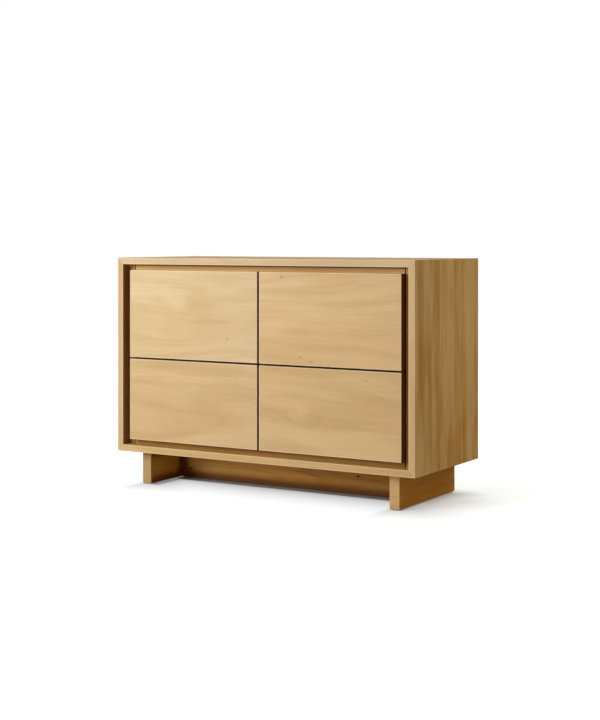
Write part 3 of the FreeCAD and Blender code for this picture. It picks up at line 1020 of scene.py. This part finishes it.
class Facing(Enum):
    """Which way a small piece's head looks, with the turn that brings it there from +Z."""

    UP = (0.0, "X")
    FRONT = (90.0, "X")
    BACK = (-90.0, "X")
    RIGHT = (90.0, "Y")
    LEFT = (-90.0, "Y")

    def at(self, place: Sequence[float], spin: float) -> Matrix:
        """Places a piece that is modelled about the origin.

        Args:
            place: Where its seat goes, in metres.
            spin: How far it is turned about its own axis, in degrees.

        Returns:
            The matrix that moves it there.
        """
        angle, axis = self.value
        turn = Matrix.Rotation(math.radians(angle), 4, axis)
        return Matrix.Translation(place) @ turn @ Matrix.Rotation(math.radians(spin), 4, "Z")

    def each(self, places: Iterable[Sequence[float]], spin: float = 0.0) -> list[Matrix]:
        """Places a copy at each of some places, each turned further than the last by one spin."""
        return [self.at(place, spin * i) for i, place in enumerate(places)]


def add_piece(
    item: bpy.types.Object, body: str, slot: str, material: bpy.types.Material, *nodes: str
) -> None:
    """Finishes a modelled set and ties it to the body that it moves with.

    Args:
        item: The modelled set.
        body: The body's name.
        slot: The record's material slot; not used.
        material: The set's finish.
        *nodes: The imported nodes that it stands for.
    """
    item.data.materials.clear()
    item.data.materials.append(material)
    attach(item, body)
    if nodes:
        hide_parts(*nodes)
    LOG.info("modelled %s, %d faces", item.name, len(item.data.polygons))


@dataclass(frozen=True)
class WoodScrew:
    """A raised countersunk wood screw with a cross recess; its seat is at level 0 and it points down."""

    # The crown's steps: how far in beside the head, and how far up beside the crown
    STEPS = ((0.18, 0.45), (0.22, 0.35), (0.28, 0.20))
    # Beside the diameter: the core, the head's underside, its cone, the thread's pitch, ridge and seat
    CORE, NECK, CONE, PITCH, RIDGE, SEAT = 0.36, 0.88, 0.6, 0.42, 0.12, 0.02
    # Beside the diameter: half a wing of the cross, its span and its depth; its floor beside its mouth
    WING, SPAN, DEPTH, TAPER = 0.16, 0.42, 0.55, 0.35
    # Beside the length: where the point starts, how long it is, and the threaded part
    SHANK, POINT, THREADED = 0.86, 0.13, 0.55
    POINT_WIDTH = 0.1

    diameter: float
    length: float
    brim: float = 0.4 * MM
    brim_height: float = 0.25 * MM
    crown: float = 0.45 * MM
    sides: int = 24

    def model(self, name: str) -> Workpiece:
        """Models one screw.

        Args:
            name: The piece's name.

        Returns:
            The finished screw about the origin.
        """
        head = self.diameter + self.brim
        core = self.CORE * self.diameter
        neck = self.NECK * self.diameter
        cone = self.CONE * self.diameter
        screw = Workpiece.disc(name, head, self.brim_height, self.sides)
        screw.top()
        for inward, rise in self.STEPS:
            screw.ring(inward * head, rise * self.crown)
        screw.bottom()
        screw.ring(head - neck, 0.0)
        screw.pull(-cone, core / neck)
        screw.pull(cone - self.SHANK * self.length, 1.0)
        screw.pull(-self.POINT * self.length, self.POINT_WIDTH)
        cross = (share * self.diameter for share in (self.WING, self.SPAN, self.DEPTH))
        screw.cut_cross(self.crown + self.brim_height, *cross, self.TAPER)
        screw.take(self._thread(f"{name}_thread", core).item)
        screw.close()
        return screw

    def _thread(self, name: str, core: float) -> Workpiece:
        """Models the thread as a ridge that winds round the core.

        Args:
            name: The piece's name.
            core: The core's radius in metres.

        Returns:
            The thread about the Z axis.
        """
        pitch = self.PITCH * self.diameter
        turns = int(self.THREADED * self.length / pitch)
        ridge = Workpiece(
            name,
            bpy.ops.mesh.primitive_circle_add,
            vertices=3,
            radius=self.RIDGE * self.diameter,
            location=(core + self.SEAT * self.diameter, 0.0, -self.SHANK * self.length),
            rotation=(math.radians(90), math.radians(90), 0.0),
        )
        ridge.apply("SCREW", screw_offset=pitch, iterations=turns, steps=10, render_steps=10, axis="Z")
        ridge.edges(lambda start, end: False)
        bpy.ops.mesh.select_non_manifold()
        bpy.ops.mesh.fill_holes(sides=3)
        ridge.close()
        return ridge


@dataclass(frozen=True)
class PanScrew:
    """The low pan head of a slide screw, seated at level 0."""

    # The dome's steps: how far in beside the radius, and how far up beside the height
    STEPS = ((0.14, 0.25), (0.22, 0.15))
    # Beside the radius: the step in to the neck, half a wing of the cross and its span
    NECK_IN, WING, SPAN = 0.45, 0.14, 0.36
    # Beside the height: the rim, the neck and the depth of the cross
    RIM, NECK, DEPTH = 0.6, 0.5, 0.4

    radius: float = 3.6 * MM
    height: float = 1.7 * MM
    sides: int = 20

    def model(self, name: str) -> Workpiece:
        """Models one head with its cross recess.

        Args:
            name: The piece's name.

        Returns:
            The finished head about the origin.
        """
        radius, height = self.radius, self.height
        head = Workpiece.disc(name, radius, self.RIM * height, self.sides)
        head.top()
        for inward, rise in self.STEPS:
            head.ring(inward * radius, rise * height)
        head.bottom()
        head.ring(self.NECK_IN * radius, 0.0)
        head.pull(-self.NECK * height, 1.0)
        head.cut_cross(height, self.WING * radius, self.SPAN * radius, self.DEPTH * height, 1.0)
        head.close()
        return head


@dataclass(frozen=True)
class Button:
    """A low round button, domed by a wide bevel: a bumper or a felt pad."""

    # The rim starts at a share of the height, and the top is stepped in by a share of its radius
    RIM, STEP = 0.9, 0.4
    # How far the flat top's normal rises, and the sharpest edge that is smoothed, in degrees
    FLAT, SMOOTH = 0.99, 60.0

    radius: float
    height: float
    rounding: float
    segments: int
    sides: int = 32

    def model(self, name: str) -> Workpiece:
        """Models one button that stands on level 0.

        Args:
            name: The piece's name.

        Returns:
            The finished button about the origin.
        """
        rim = self.RIM * self.height
        button = Workpiece.disc(name, self.radius, self.height, self.sides)
        button.edges(lambda start, end: start.z > rim and end.z > rim)
        bpy.ops.mesh.bevel(offset=self.rounding, segments=self.segments, profile=0.5, affect="EDGES")
        button.faces(lambda rise: rise > self.FLAT)
        button.ring(self.STEP * (self.radius - self.rounding), 0.0)
        button.close(self.SMOOTH)
        return button


# Colours of the shade painted into the gaps of the fronts and the recesses of the case
FRONT_PAINTED_SHADE = (0.155, 0.037, 0.006)
CASE_PAINTED_SHADE = (0.185, 0.055, 0.009)

# The four fronts step darker from upper left to lower right: painted shade, as the light falls off
UPPER_LEFT_WOOD = WoodTone((0.785, 0.598, 0.348), (0.717, 0.521, 0.282), (0.594, 0.404, 0.188), FRONT_PAINTED_SHADE)
UPPER_RIGHT_WOOD = WoodTone((0.780, 0.562, 0.304), (0.712, 0.489, 0.246), (0.590, 0.378, 0.162), FRONT_PAINTED_SHADE)
LOWER_LEFT_WOOD = WoodTone((0.734, 0.527, 0.286), (0.674, 0.463, 0.234), (0.554, 0.357, 0.154), FRONT_PAINTED_SHADE)
LOWER_RIGHT_WOOD = WoodTone((0.729, 0.516, 0.268), (0.670, 0.454, 0.220), (0.551, 0.348, 0.144), FRONT_PAINTED_SHADE)
# Front edge tones: the top edge lighter and the bottom edge darker, the left foot's edge darker and the
# right foot's lighter, as the light falls: painted light and shade
TOP_EDGE_WOOD = WoodTone((0.735, 0.552, 0.340), (0.665, 0.478, 0.274), (0.584, 0.402, 0.218))
SIDE_EDGE_WOOD = WoodTone((0.690, 0.480, 0.250), (0.640, 0.425, 0.202), (0.562, 0.362, 0.162))
BOTTOM_EDGE_WOOD = WoodTone((0.680, 0.462, 0.222), (0.625, 0.404, 0.177), (0.548, 0.344, 0.143))
LEFT_FOOT_EDGE_WOOD = WoodTone((0.550, 0.358, 0.170), (0.505, 0.312, 0.135), (0.402, 0.235, 0.093))
RIGHT_FOOT_EDGE_WOOD = WoodTone((0.735, 0.485, 0.235), (0.675, 0.424, 0.187), (0.537, 0.319, 0.128))
CASE_WOOD = WoodTone((0.690, 0.492, 0.252), (0.640, 0.425, 0.180), (0.440, 0.215, 0.024), CASE_PAINTED_SHADE)
# The top is lighter than the case's other boards, for the light that falls on it: painted light
TOP_WOOD = WoodTone((0.780, 0.570, 0.320), (0.710, 0.500, 0.260), (0.575, 0.380, 0.172), CASE_PAINTED_SHADE)
# Lit and shaded copies of one wood: the left stile and the bottom rail darker, the right stile and the top
# rail lighter, as the light falls into the recess: painted light and shade
LEFT_STILE_WOOD = WoodTone((0.520, 0.290, 0.070), (0.460, 0.245, 0.055), (0.340, 0.170, 0.035))
RIGHT_STILE_WOOD = WoodTone((0.730, 0.425, 0.110), (0.660, 0.368, 0.086), (0.500, 0.262, 0.052))
TOP_RAIL_WOOD = WoodTone((0.770, 0.495, 0.195), (0.697, 0.430, 0.156), (0.540, 0.312, 0.096))
BOTTOM_RAIL_WOOD = WoodTone((0.485, 0.253, 0.056), (0.417, 0.206, 0.043), (0.300, 0.138, 0.025))
# Plinth wood darker and more orange than the case: partly its own tone, partly painted shade of the plinth
# under the case
FOOT_WOOD = WoodTone(
    (0.588, 0.294, 0.043), (0.504, 0.241, 0.031), (0.362, 0.159, 0.018), (0.185, 0.050, 0.010), specular=0.05
)
CROSS_WOOD = WoodTone(
    (0.860, 0.475, 0.140),
    (0.665, 0.335, 0.082),
    (0.360, 0.148, 0.028),
    (0.190, 0.075, 0.019),
    knot=(0.040, 0.014, 0.004),
    specular=0.05,
)
BOX_WOOD = WoodTone((0.740, 0.580, 0.370), (0.670, 0.505, 0.305), (0.530, 0.380, 0.205))
SHEET_WOOD = WoodTone((0.710, 0.540, 0.320), (0.630, 0.460, 0.255), (0.500, 0.345, 0.180))

UPPER_LEFT_EYES = (
    Eye(-0.205, 0.5315, 0.030, 0.020, warm=0.45, stretch=2.9),
    Eye(-0.165, 0.4985, 0.012, 0.008, warm=0.45, stretch=7.0),
    Eye(-0.105, 0.4502, 0.0022, 0.003, dark=0.6),
)
UPPER_RIGHT_EYES = (
    Eye(0.0783, 0.6317, 0.0025, 0.003, dark=0.75),
    Eye(0.1277, 0.5651, 0.006, 0.006),
    Eye(0.1408, 0.4085, 0.0022, 0.004, dark=0.5, stretch=4.0),
    Eye(0.1766, 0.3961, 0.0026, 0.004, dark=0.5),
    Eye(0.135, 0.478, 0.011, 0.010, warm=0.4, stretch=6.0),
)
LOWER_LEFT_EYES = (
    Eye(-0.190, 0.2487, 0.026, 0.016, warm=0.4, stretch=3.2),
    Eye(-0.0774, 0.3389, 0.002, 0.003, dark=0.35, stretch=4.0),
)
LOWER_RIGHT_EYES = (
    Eye(0.1895, 0.2352, 0.022, 0.018, warm=0.55, stretch=2.6),
    Eye(0.262, 0.2330, 0.017, 0.012, warm=0.40, stretch=5.5),
    Eye(0.3476, 0.3517, 0.002, 0.003, dark=0.35, stretch=4.0),
)


def dress(node: str, material: bpy.types.Material) -> None:
    """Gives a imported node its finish.

    Args:
        node: The node's name.
        material: The finish.
    """
    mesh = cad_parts[node].data
    mesh.materials.clear()
    mesh.materials.append(material)
    LOG.info("dressed %s with %s", node, material.name)


def dress_board(wood: SolidWood, node: str, tone: WoodTone, board: Board) -> None:
    """Gives a packed board its own figure, in one tone of the wood."""
    low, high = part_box(node)
    dress(node, wood.material(node, tone, board, low, high))


@dataclass
class Case:
    """The mitred case with its recessed frame, divider, battens and back."""

    stave: float = 0.045
    contrast: float = 0.14
    back_y: float = 0.205
    screw_edge: float = 0.485
    screw_levels: tuple[float, float, float] = (0.1743, 0.3915, 0.6087)
    screw_step: float = 0.320
    screw_rims: tuple[float, float] = (0.115, 0.668)
    screw_spin: float = 37.0
    screw: WoodScrew = WoodScrew(3.5 * MM, 25.0 * MM)
    frame_y: float = -0.176
    bumper_spread: float = 0.15214
    bumper_levels: tuple[float, float] = (0.1545, 0.6285)
    bumper: Button = Button(4.2 * MM, 1.8 * MM, 1.3 * MM, 4)

    def dress(self, wood: SolidWood) -> None:
        """Gives each board of the case its grain.

        Args:
            wood: The wood finish.
        """
        wide = dict(stave_width=self.stave, stave_contrast=self.contrast, pith_depth=0.03, streaks=3.0)
        level = dict(grain=Grain.X_FACING_Z, wear=0.5, rim=PaleRim("Z", strength=0.35), **wide)
        side = dict(wear=0.5, rim=PaleRim("X", strength=0.35), lipping=SIDE_EDGE_WOOD, **wide)
        narrow = dict(ring_width=0.006, pith_depth=0.06, swirl=0.008, figure=0.45)
        sheet = dict(stave_width=0.3, stave_contrast=0.1, pith_depth=0.02, swirl=0.03)
        # Painted shade: on the faces in the recess behind the front edges, on the end faces in the joint
        # gaps, on the top rail under the top and at the foot of the left stile
        under_top, inside_left, inside_right = RecessStain(2, 1), RecessStain(0, -1), RecessStain(0, 1)
        joint_gap_shade = RimStain("X", start=0.6 * MM, reach=0.3 * MM)
        foot_shade, head_shade = EdgeShade(-1, 40.0 * MM, 0.45), EdgeShade(1, 6.0 * MM, 0.8)
        along, upright, stile = Grain.X_FACING_Y, Grain.Z_FACING_X, Grain.Z_FACING_Y
        batten = Grain.Y_FACING_X
        boards = {
            "top_panel": Board(seed=3.0, stains=(under_top,), lipping=TOP_EDGE_WOOD, **level),
            "bottom_panel": Board(seed=5.0, lipping=BOTTOM_EDGE_WOOD, **level),
            "left_side_panel": Board(upright, 8.0, stains=(inside_left,), figure=0.5, **side),
            "right_side_panel": Board(upright, 11.0, stains=(inside_right,), figure=1.0, **side),
            "centre_divider": Board(upright, 14.0, **wide),
            "left_stile": Board(stile, 17.0, stains=(joint_gap_shade, foot_shade), **narrow),
            "right_stile": Board(stile, 19.0, stains=(joint_gap_shade,), **narrow),
            "top_rail": Board(along, 21.0, stains=(joint_gap_shade, head_shade), **narrow),
            "bottom_rail": Board(along, 23.0, stains=(joint_gap_shade,), **narrow),
            "mitre_splines": Board(batten, 25.0, **narrow),
            "runner_battens": Board(batten, 27.0, **narrow),
            "back_panel": Board(along, 29.0, **sheet),
        }
        tones = {
            "top_panel": TOP_WOOD,
            "left_stile": LEFT_STILE_WOOD,
            "right_stile": RIGHT_STILE_WOOD,
            "top_rail": TOP_RAIL_WOOD,
            "bottom_rail": BOTTOM_RAIL_WOOD,
            "back_panel": SHEET_WOOD,
        }
        for node, board in boards.items():
            dress_board(wood, node, tones.get(node, CASE_WOOD), board)

    def fit(self, steel: bpy.types.Material, clear: bpy.types.Material) -> None:
        """Models the back screws and the closing bumpers.

        Args:
            steel: The finish of the screws.
            clear: The finish of the bumpers.
        """
        spots = [(x, z) for x in (-self.screw_edge, 0.0, self.screw_edge) for z in self.screw_levels]
        spots += [(x, z) for x in (-self.screw_step, 0.0, self.screw_step) for z in self.screw_rims]
        turned = Facing.BACK.each([(x, self.back_y, z) for x, z in spots], self.screw_spin)
        screws = self.screw.model("back_wood_screws").spread(turned)
        add_piece(screws, "case", "screw_steel", steel, "back_screws")
        stuck = [
            (column * COLUMN_X + side * self.bumper_spread, self.frame_y, z)
            for z in self.bumper_levels
            for column in (-1, 1)
            for side in (-1, 1)
        ]
        bumpers = self.bumper.model("soft_bumpers").spread(Facing.FRONT.each(stuck))
        add_piece(bumpers, "case", "bumper", clear, "closing_bumpers")


@dataclass
class Plinth:
    """Two foot boards with a cross board between them, on felt pads."""

    knots: tuple[tuple[float, float], ...] = ((-0.3729, 0.0287), (0.2159, 0.0533))
    knot_reach: float = 4.0 * MM
    foot_x: float = 0.419
    screw_rows: tuple[float, float] = (-0.11844, 0.13644)
    cross_screw_x: float = 0.14544
    cross_y: float = 0.009
    screw_level: float = 0.120
    screw_spin: float = 53.0
    screw: WoodScrew = WoodScrew(5.0 * MM, 60.0 * MM)
    pad_rows: tuple[float, float] = (-0.136, 0.154)
    pad: Button = Button(10.0 * MM, 2.0 * MM, 0.5 * MM, 3, 48)

    def dress(self, wood: SolidWood) -> None:
        """Gives the plinth boards their grain and the cross board its two knots.

        Args:
            wood: The wood finish.
        """
        plain = dict(ring_width=0.008, pith_depth=0.05, figure=0.6)
        # Painted shade on the feet's inner faces, and along the cross board's lower edge and its left end
        inner = dict(wall=30.0 * MM, start=6.0 * MM, depth=0.4, strength=1.0)
        for node, side, seed, lipping in (
            ("left_foot", -1, 31.0, LEFT_FOOT_EDGE_WOOD),
            ("right_foot", 1, 33.0, RIGHT_FOOT_EDGE_WOOD),
        ):
            stains = (RecessStain(0, side, **inner),)
            foot = Board(Grain.Y_FACING_X, seed, stains=stains, lipping=lipping, **plain)
            dress_board(wood, node, FOOT_WOOD, foot)
        knots = tuple(Eye(x, z, self.knot_reach, 0.012, dark=0.95, stretch=1.4) for x, z in self.knots)
        shades = (EdgeShade(-1, 36.0 * MM, 1.0), EdgeShade(-1, 90.0 * MM, 1.0, axis=0))
        cross = Board(Grain.X_FACING_Y, 51.5, eyes=knots, streaks=2.4, stains=shades, **plain)
        dress_board(wood, "cross_board", CROSS_WOOD, cross)

    def fit(self, steel: bpy.types.Material, felt: bpy.types.Material) -> None:
        """Models the screws that hold the plinth, and the felt pads under it.

        Args:
            steel: The finish of the screws.
            felt: The finish of the pads.
        """
        spots = [(side * self.foot_x, y, self.screw_level) for side in (-1, 1) for y in self.screw_rows]
        spots += [(side * self.cross_screw_x, self.cross_y, self.screw_level) for side in (-1, 1)]
        screws = self.screw.model("base_wood_screws").spread(Facing.UP.each(spots, self.screw_spin))
        add_piece(screws, "case", "screw_steel", steel, "base_screws")
        stuck = [(side * self.foot_x, y, 0.0) for side in (-1, 1) for y in self.pad_rows]
        pads = self.pad.model("felt_discs").spread(Facing.UP.each(stuck))
        add_piece(pads, "case", "felt", felt, "felt_pads")


@dataclass
class Drawer:
    """One drawer: its front, its dovetailed box and its pair of slides."""

    row: Row
    side: Side
    seed: float
    tone: WoodTone
    eyes: tuple[Eye, ...]
    box_levels: tuple[float, float] = (0.166, 0.413)
    box_inside: float = -0.166
    screw_spread: float = 0.16059
    screw_rises: tuple[float, float] = (0.0518, 0.1332)
    screw_spin: float = 41.0
    screw: WoodScrew = WoodScrew(4.0 * MM, 26.0 * MM)
    slide_rise: float = 0.0925
    opening_half: float = 0.224
    outer_web: float = 1.2 * MM
    inner_web: float = 11.5 * MM
    slide_holes: tuple[float, ...] = (-0.137, -0.009, 0.119)
    pan_spin: float = 67.0
    pan: PanScrew = PanScrew()

    @property
    def name(self) -> str:
        """The drawer's name, such as upper_left."""
        return f"{self.row.value}_{self.side.word}"

    @property
    def body(self) -> str:
        """The body that slides out with this drawer."""
        return f"{self.name}_drawer"

    def dress(self, wood: SolidWood, steel: bpy.types.Material) -> None:
        """Gives the drawer's pieces their finishes.

        Args:
            wood: The wood finish.
            steel: The finish of the slides.
        """
        # Fronts: painted shade on their narrow faces where they lie in a gap, a painted highlight on their
        # eased edges, and edges paled partly by wear
        shown = dict(swirl=0.045, figure=0.6, wear=0.5, stains=(RimStain(bare=self.row),), rim=PaleRim())
        thin = dict(ring_width=0.007, pith_depth=0.04, swirl=0.012, figure=0.5, end_grain=0.7)
        sheet = dict(pith_depth=0.02, swirl=0.03)
        for piece, tone, grain, shift, sawn in (
            ("front", self.tone, Grain.X_FACING_Y, 0.0, dict(eyes=self.eyes, **shown)),
            ("box_left_side", BOX_WOOD, Grain.Y_FACING_X, 0.21, thin),
            ("box_right_side", BOX_WOOD, Grain.Y_FACING_X, 0.37, thin),
            ("box_front", BOX_WOOD, Grain.X_FACING_Y, 0.49, thin),
            ("box_back", BOX_WOOD, Grain.X_FACING_Y, 0.61, thin),
            ("box_bottom", SHEET_WOOD, Grain.X_FACING_Z, 0.73, sheet),
        ):
            dress_board(wood, f"{self.name}_{piece}", tone, Board(grain, self.seed + shift, **sawn))
        for member in ("outer", "middle", "inner"):
            dress(f"{self.name}_slide_{member}_members", steel)

    def fit(self, steel: bpy.types.Material) -> None:
        """Models the screws of the front and of the slides.

        Args:
            steel: The finish of the screws.
        """
        middle = self.side.value * COLUMN_X
        floor = self.box_levels[self.row is Row.UPPER]
        spots = [
            (middle + side * self.screw_spread, self.box_inside, floor + z)
            for side in (-1, 1)
            for z in self.screw_rises
        ]
        turned = Facing.BACK.each(spots, self.screw_spin)
        screws = self.screw.model(f"{self.name}_front_wood_screws").spread(turned)
        add_piece(screws, self.body, "screw_steel", steel, f"{self.name}_front_screws")
        level = floor + self.slide_rise
        for member, body, inset in (
            ("outer", "case", self.outer_web),
            ("inner", self.body, self.inner_web),
        ):
            heads = []
            for side in (-1, 1):
                facing = Facing.RIGHT if (side < 0) == (member == "outer") else Facing.LEFT
                x = middle + side * (self.opening_half - inset)
                heads += facing.each([(x, y, level) for y in self.slide_holes], self.pan_spin)
            pans = self.pan.model(f"{self.name}_{member}_slide_screws").spread(heads)
            add_piece(pans, body, "screw_steel", steel)


@dataclass(frozen=True)
class Lamp:
    """A soft square lamp that is aimed at the object."""

    name: str
    place: Triple
    size: float
    power: float
    colour: Colour
    target: Triple = (0.0, 0.0, 0.35)

    def build(self) -> None:
        """Hangs the lamp at its place."""
        data = bpy.data.lights.new(self.name, "AREA")
        data.energy = self.power
        data.size = self.size
        data.color = self.colour
        lamp = bpy.data.objects.new(self.name, data)
        lamp.location = self.place
        aim = Vector(self.target) - Vector(self.place)
        lamp.rotation_euler = aim.to_track_quat("-Z", "Y").to_euler()
        bpy.context.scene.collection.objects.link(lamp)


@dataclass(frozen=True)
class Shadow:
    """A soft dark patch of the floor: a rectangle, and how far it fades out around it."""

    FADE_POWER = 1.5

    low: tuple[float, float]
    high: tuple[float, float]
    before: tuple[float, float]
    beyond: tuple[float, float]
    depth: float

    def loss(self, g: Graph, place: Socket) -> Value:
        """Finds how much of the floor's glow is lost.

        Args:
            g: The floor's graph.
            place: The floor's coordinates.

        Returns:
            The part of the glow that is lost.
        """
        short = g.vector("DIVIDE", g.vector("SUBTRACT", (*self.low, 0.0), place), (*self.before, 1.0))
        past = g.vector("DIVIDE", g.vector("SUBTRACT", place, (*self.high, 0.0)), (*self.beyond, 1.0))
        away = g.vector("MAXIMUM", g.vector("MAXIMUM", short, past), (0.0, 0.0, 0.0))
        close = g.sum("SUBTRACT", 1.0, g.vector("LENGTH", away), clamp=True)
        return g.times(g.sum("POWER", close, self.FADE_POWER), self.depth)


@dataclass
class Studio:
    """Floor, lamps, background and camera."""

    camera_place: Triple = (2.223, -3.676, 0.740)
    camera_turn: float = 30.95
    lens: float = 72.385
    sensor: float = 36.0
    shift: float = -0.1685
    key: Lamp = Lamp("key", (-1.8, -3.1, 1.55), 1.6, 105.5, (1.0, 1.0, 1.0))
    fill: Lamp = Lamp("fill", (2.4, 2.1, 2.6), 2.4, 53.0, (1.0, 0.78, 0.37))
    ambient: Colour = (0.12, 0.09, 0.05)
    white: Colour = (1.0, 1.0, 1.0)
    floor_half: float = 9.0
    floor_tones: tuple[Colour, Colour] = ((0.78, 0.83, 0.90), (0.80, 0.85, 0.92))
    floor_grain: float = 30.0
    floor_seen: Colour = (0.39, 0.415, 0.45)
    glow_tint: Colour = (0.965, 0.982, 1.0)
    near_glow: float = 0.84
    far_glow: float = 1.05
    white_reach: float = 0.45
    # Patches of painted shadow, taken out of the floor's glow
    shadows: tuple[Shadow, ...] = (
        Shadow((-0.404, -0.002), (0.434, 0.150), (0.05, 0.232), (0.145, 0.10), 0.60),
        Shadow((-0.434, -0.120), (-0.404, 0.060), (0.03, 0.20), (0.235, 0.15), 0.48),
        Shadow((0.404, -0.120), (0.434, 0.060), (0.03, 0.20), (0.235, 0.15), 0.48),
        Shadow((-0.404, -0.036), (0.404, 0.020), (0.02, 0.035), (0.02, 0.03), 0.83),
        Shadow((-0.434, -0.165), (-0.388, 0.180), (0.012, 0.012), (0.055, 0.02), 0.62),
        Shadow((0.404, -0.160), (0.434, 0.180), (0.012, 0.012), (0.012, 0.02), 0.65),
    )

    def build(self) -> None:
        """Sets up everything around the object."""
        self._camera()
        self.key.build()
        self.fill.build()
        self._world()
        self._floor()
        bpy.context.scene.view_settings.view_transform = "Standard"

    def _camera(self) -> None:
        """Stands the camera level at the photograph's place."""
        data = bpy.data.cameras.new("camera")
        data.lens = self.lens
        data.sensor_width = self.sensor
        data.shift_y = self.shift
        camera = bpy.data.objects.new("camera", data)
        camera.location = self.camera_place
        camera.rotation_euler = (math.radians(90), 0.0, math.radians(self.camera_turn))
        bpy.context.scene.collection.objects.link(camera)
        bpy.context.scene.camera = camera

    def _world(self) -> None:
        """Lights the shadows softly and keeps the background white."""
        world = bpy.data.worlds.new("studio")
        world.use_nodes = True
        bpy.context.scene.world = world
        world.node_tree.nodes.clear()
        g = Graph(world.node_tree)
        soft, white = (
            g.add("ShaderNodeBackground", colour).outputs[0] for colour in (self.ambient, self.white)
        )
        mix = g.add("ShaderNodeMixShader", self._seen(g), soft, white)
        g.add("ShaderNodeOutputWorld", mix.outputs[0])

    def _seen(self, g: Graph) -> Socket:
        """Says whether a ray is one that shows the background.

        Args:
            g: The graph that asks.

        Returns:
            1 for such a ray, 0 for one that only carries light.
        """
        path = g.add("ShaderNodeLightPath").outputs
        straight = g.plus(path["Is Camera Ray"], path["Is Glossy Ray"])
        return g.sum("ADD", straight, path["Is Transmission Ray"], clamp=True)

    def _floor(self) -> None:
        """Lays a pale floor that keeps the shadow near the object and is white further off."""
        deselect()
        bpy.ops.mesh.primitive_plane_add(size=2 * self.floor_half)
        floor = bpy.context.active_object
        floor.name = "floor"
        material, g, shader = new_material("pale_floor")
        place = g.place()
        seen = self._seen(g)
        pale = g.blend(g.noise(place, self.floor_grain), *self.floor_tones)
        half = (CAD_BOX[1] - CAD_BOX[0]) / 2
        outside = g.vector("SUBTRACT", g.vector("ABSOLUTE", place), (half.x, half.y, 0.0))
        away = g.vector("LENGTH", g.vector("MAXIMUM", outside, (0.0, 0.0, 0.0)))
        # Painted shade: the glow is lower near the object, and the patches of painted shadow are taken out
        # of it
        glow = g.step(away, 0.0, self.white_reach, self.near_glow, self.far_glow)
        lost = g.chain("MAXIMUM", 0.0, *(shadow.loss(g, place) for shadow in self.shadows))
        values = {
            "Base Color": g.blend(seen, pale, self.floor_seen),
            "Roughness": 0.9,
            "Specular IOR Level": 0.0,
            "Emission Color": self.glow_tint,
            "Emission Strength": g.times(g.minus(glow, lost), seen),
        }
        g.fill(shader, values)
        floor.data.materials.append(material)


def main() -> None:
    """Dresses the sub-assemblies in order and sets up the studio."""
    logging.basicConfig(level=logging.INFO, format="%(message)s")
    wood = SolidWood()
    zinc = Steel().material("zinc_steel")
    brass = Steel((0.62, 0.52, 0.30), (0.48, 0.41, 0.25), 0.30).material("yellow_zinc_steel")
    felt = PressedFelt().material("pressed_felt")
    clear = SoftClear().material("soft_clear")
    case = Case()
    case.dress(wood)
    case.fit(brass, clear)
    plinth = Plinth()
    plinth.dress(wood)
    plinth.fit(brass, felt)
    drawers = (
        Drawer(Row.UPPER, Side.LEFT, 63.8, UPPER_LEFT_WOOD, UPPER_LEFT_EYES),
        Drawer(Row.UPPER, Side.RIGHT, 64.1, UPPER_RIGHT_WOOD, UPPER_RIGHT_EYES),
        Drawer(Row.LOWER, Side.LEFT, 58.7, LOWER_LEFT_WOOD, LOWER_LEFT_EYES),
        Drawer(Row.LOWER, Side.RIGHT, 66.6, LOWER_RIGHT_WOOD, LOWER_RIGHT_EYES),
    )
    for drawer in drawers:
        drawer.dress(wood, zinc)
        drawer.fit(brass)
    Studio().build()


if __name__ == "__main__":
    main()
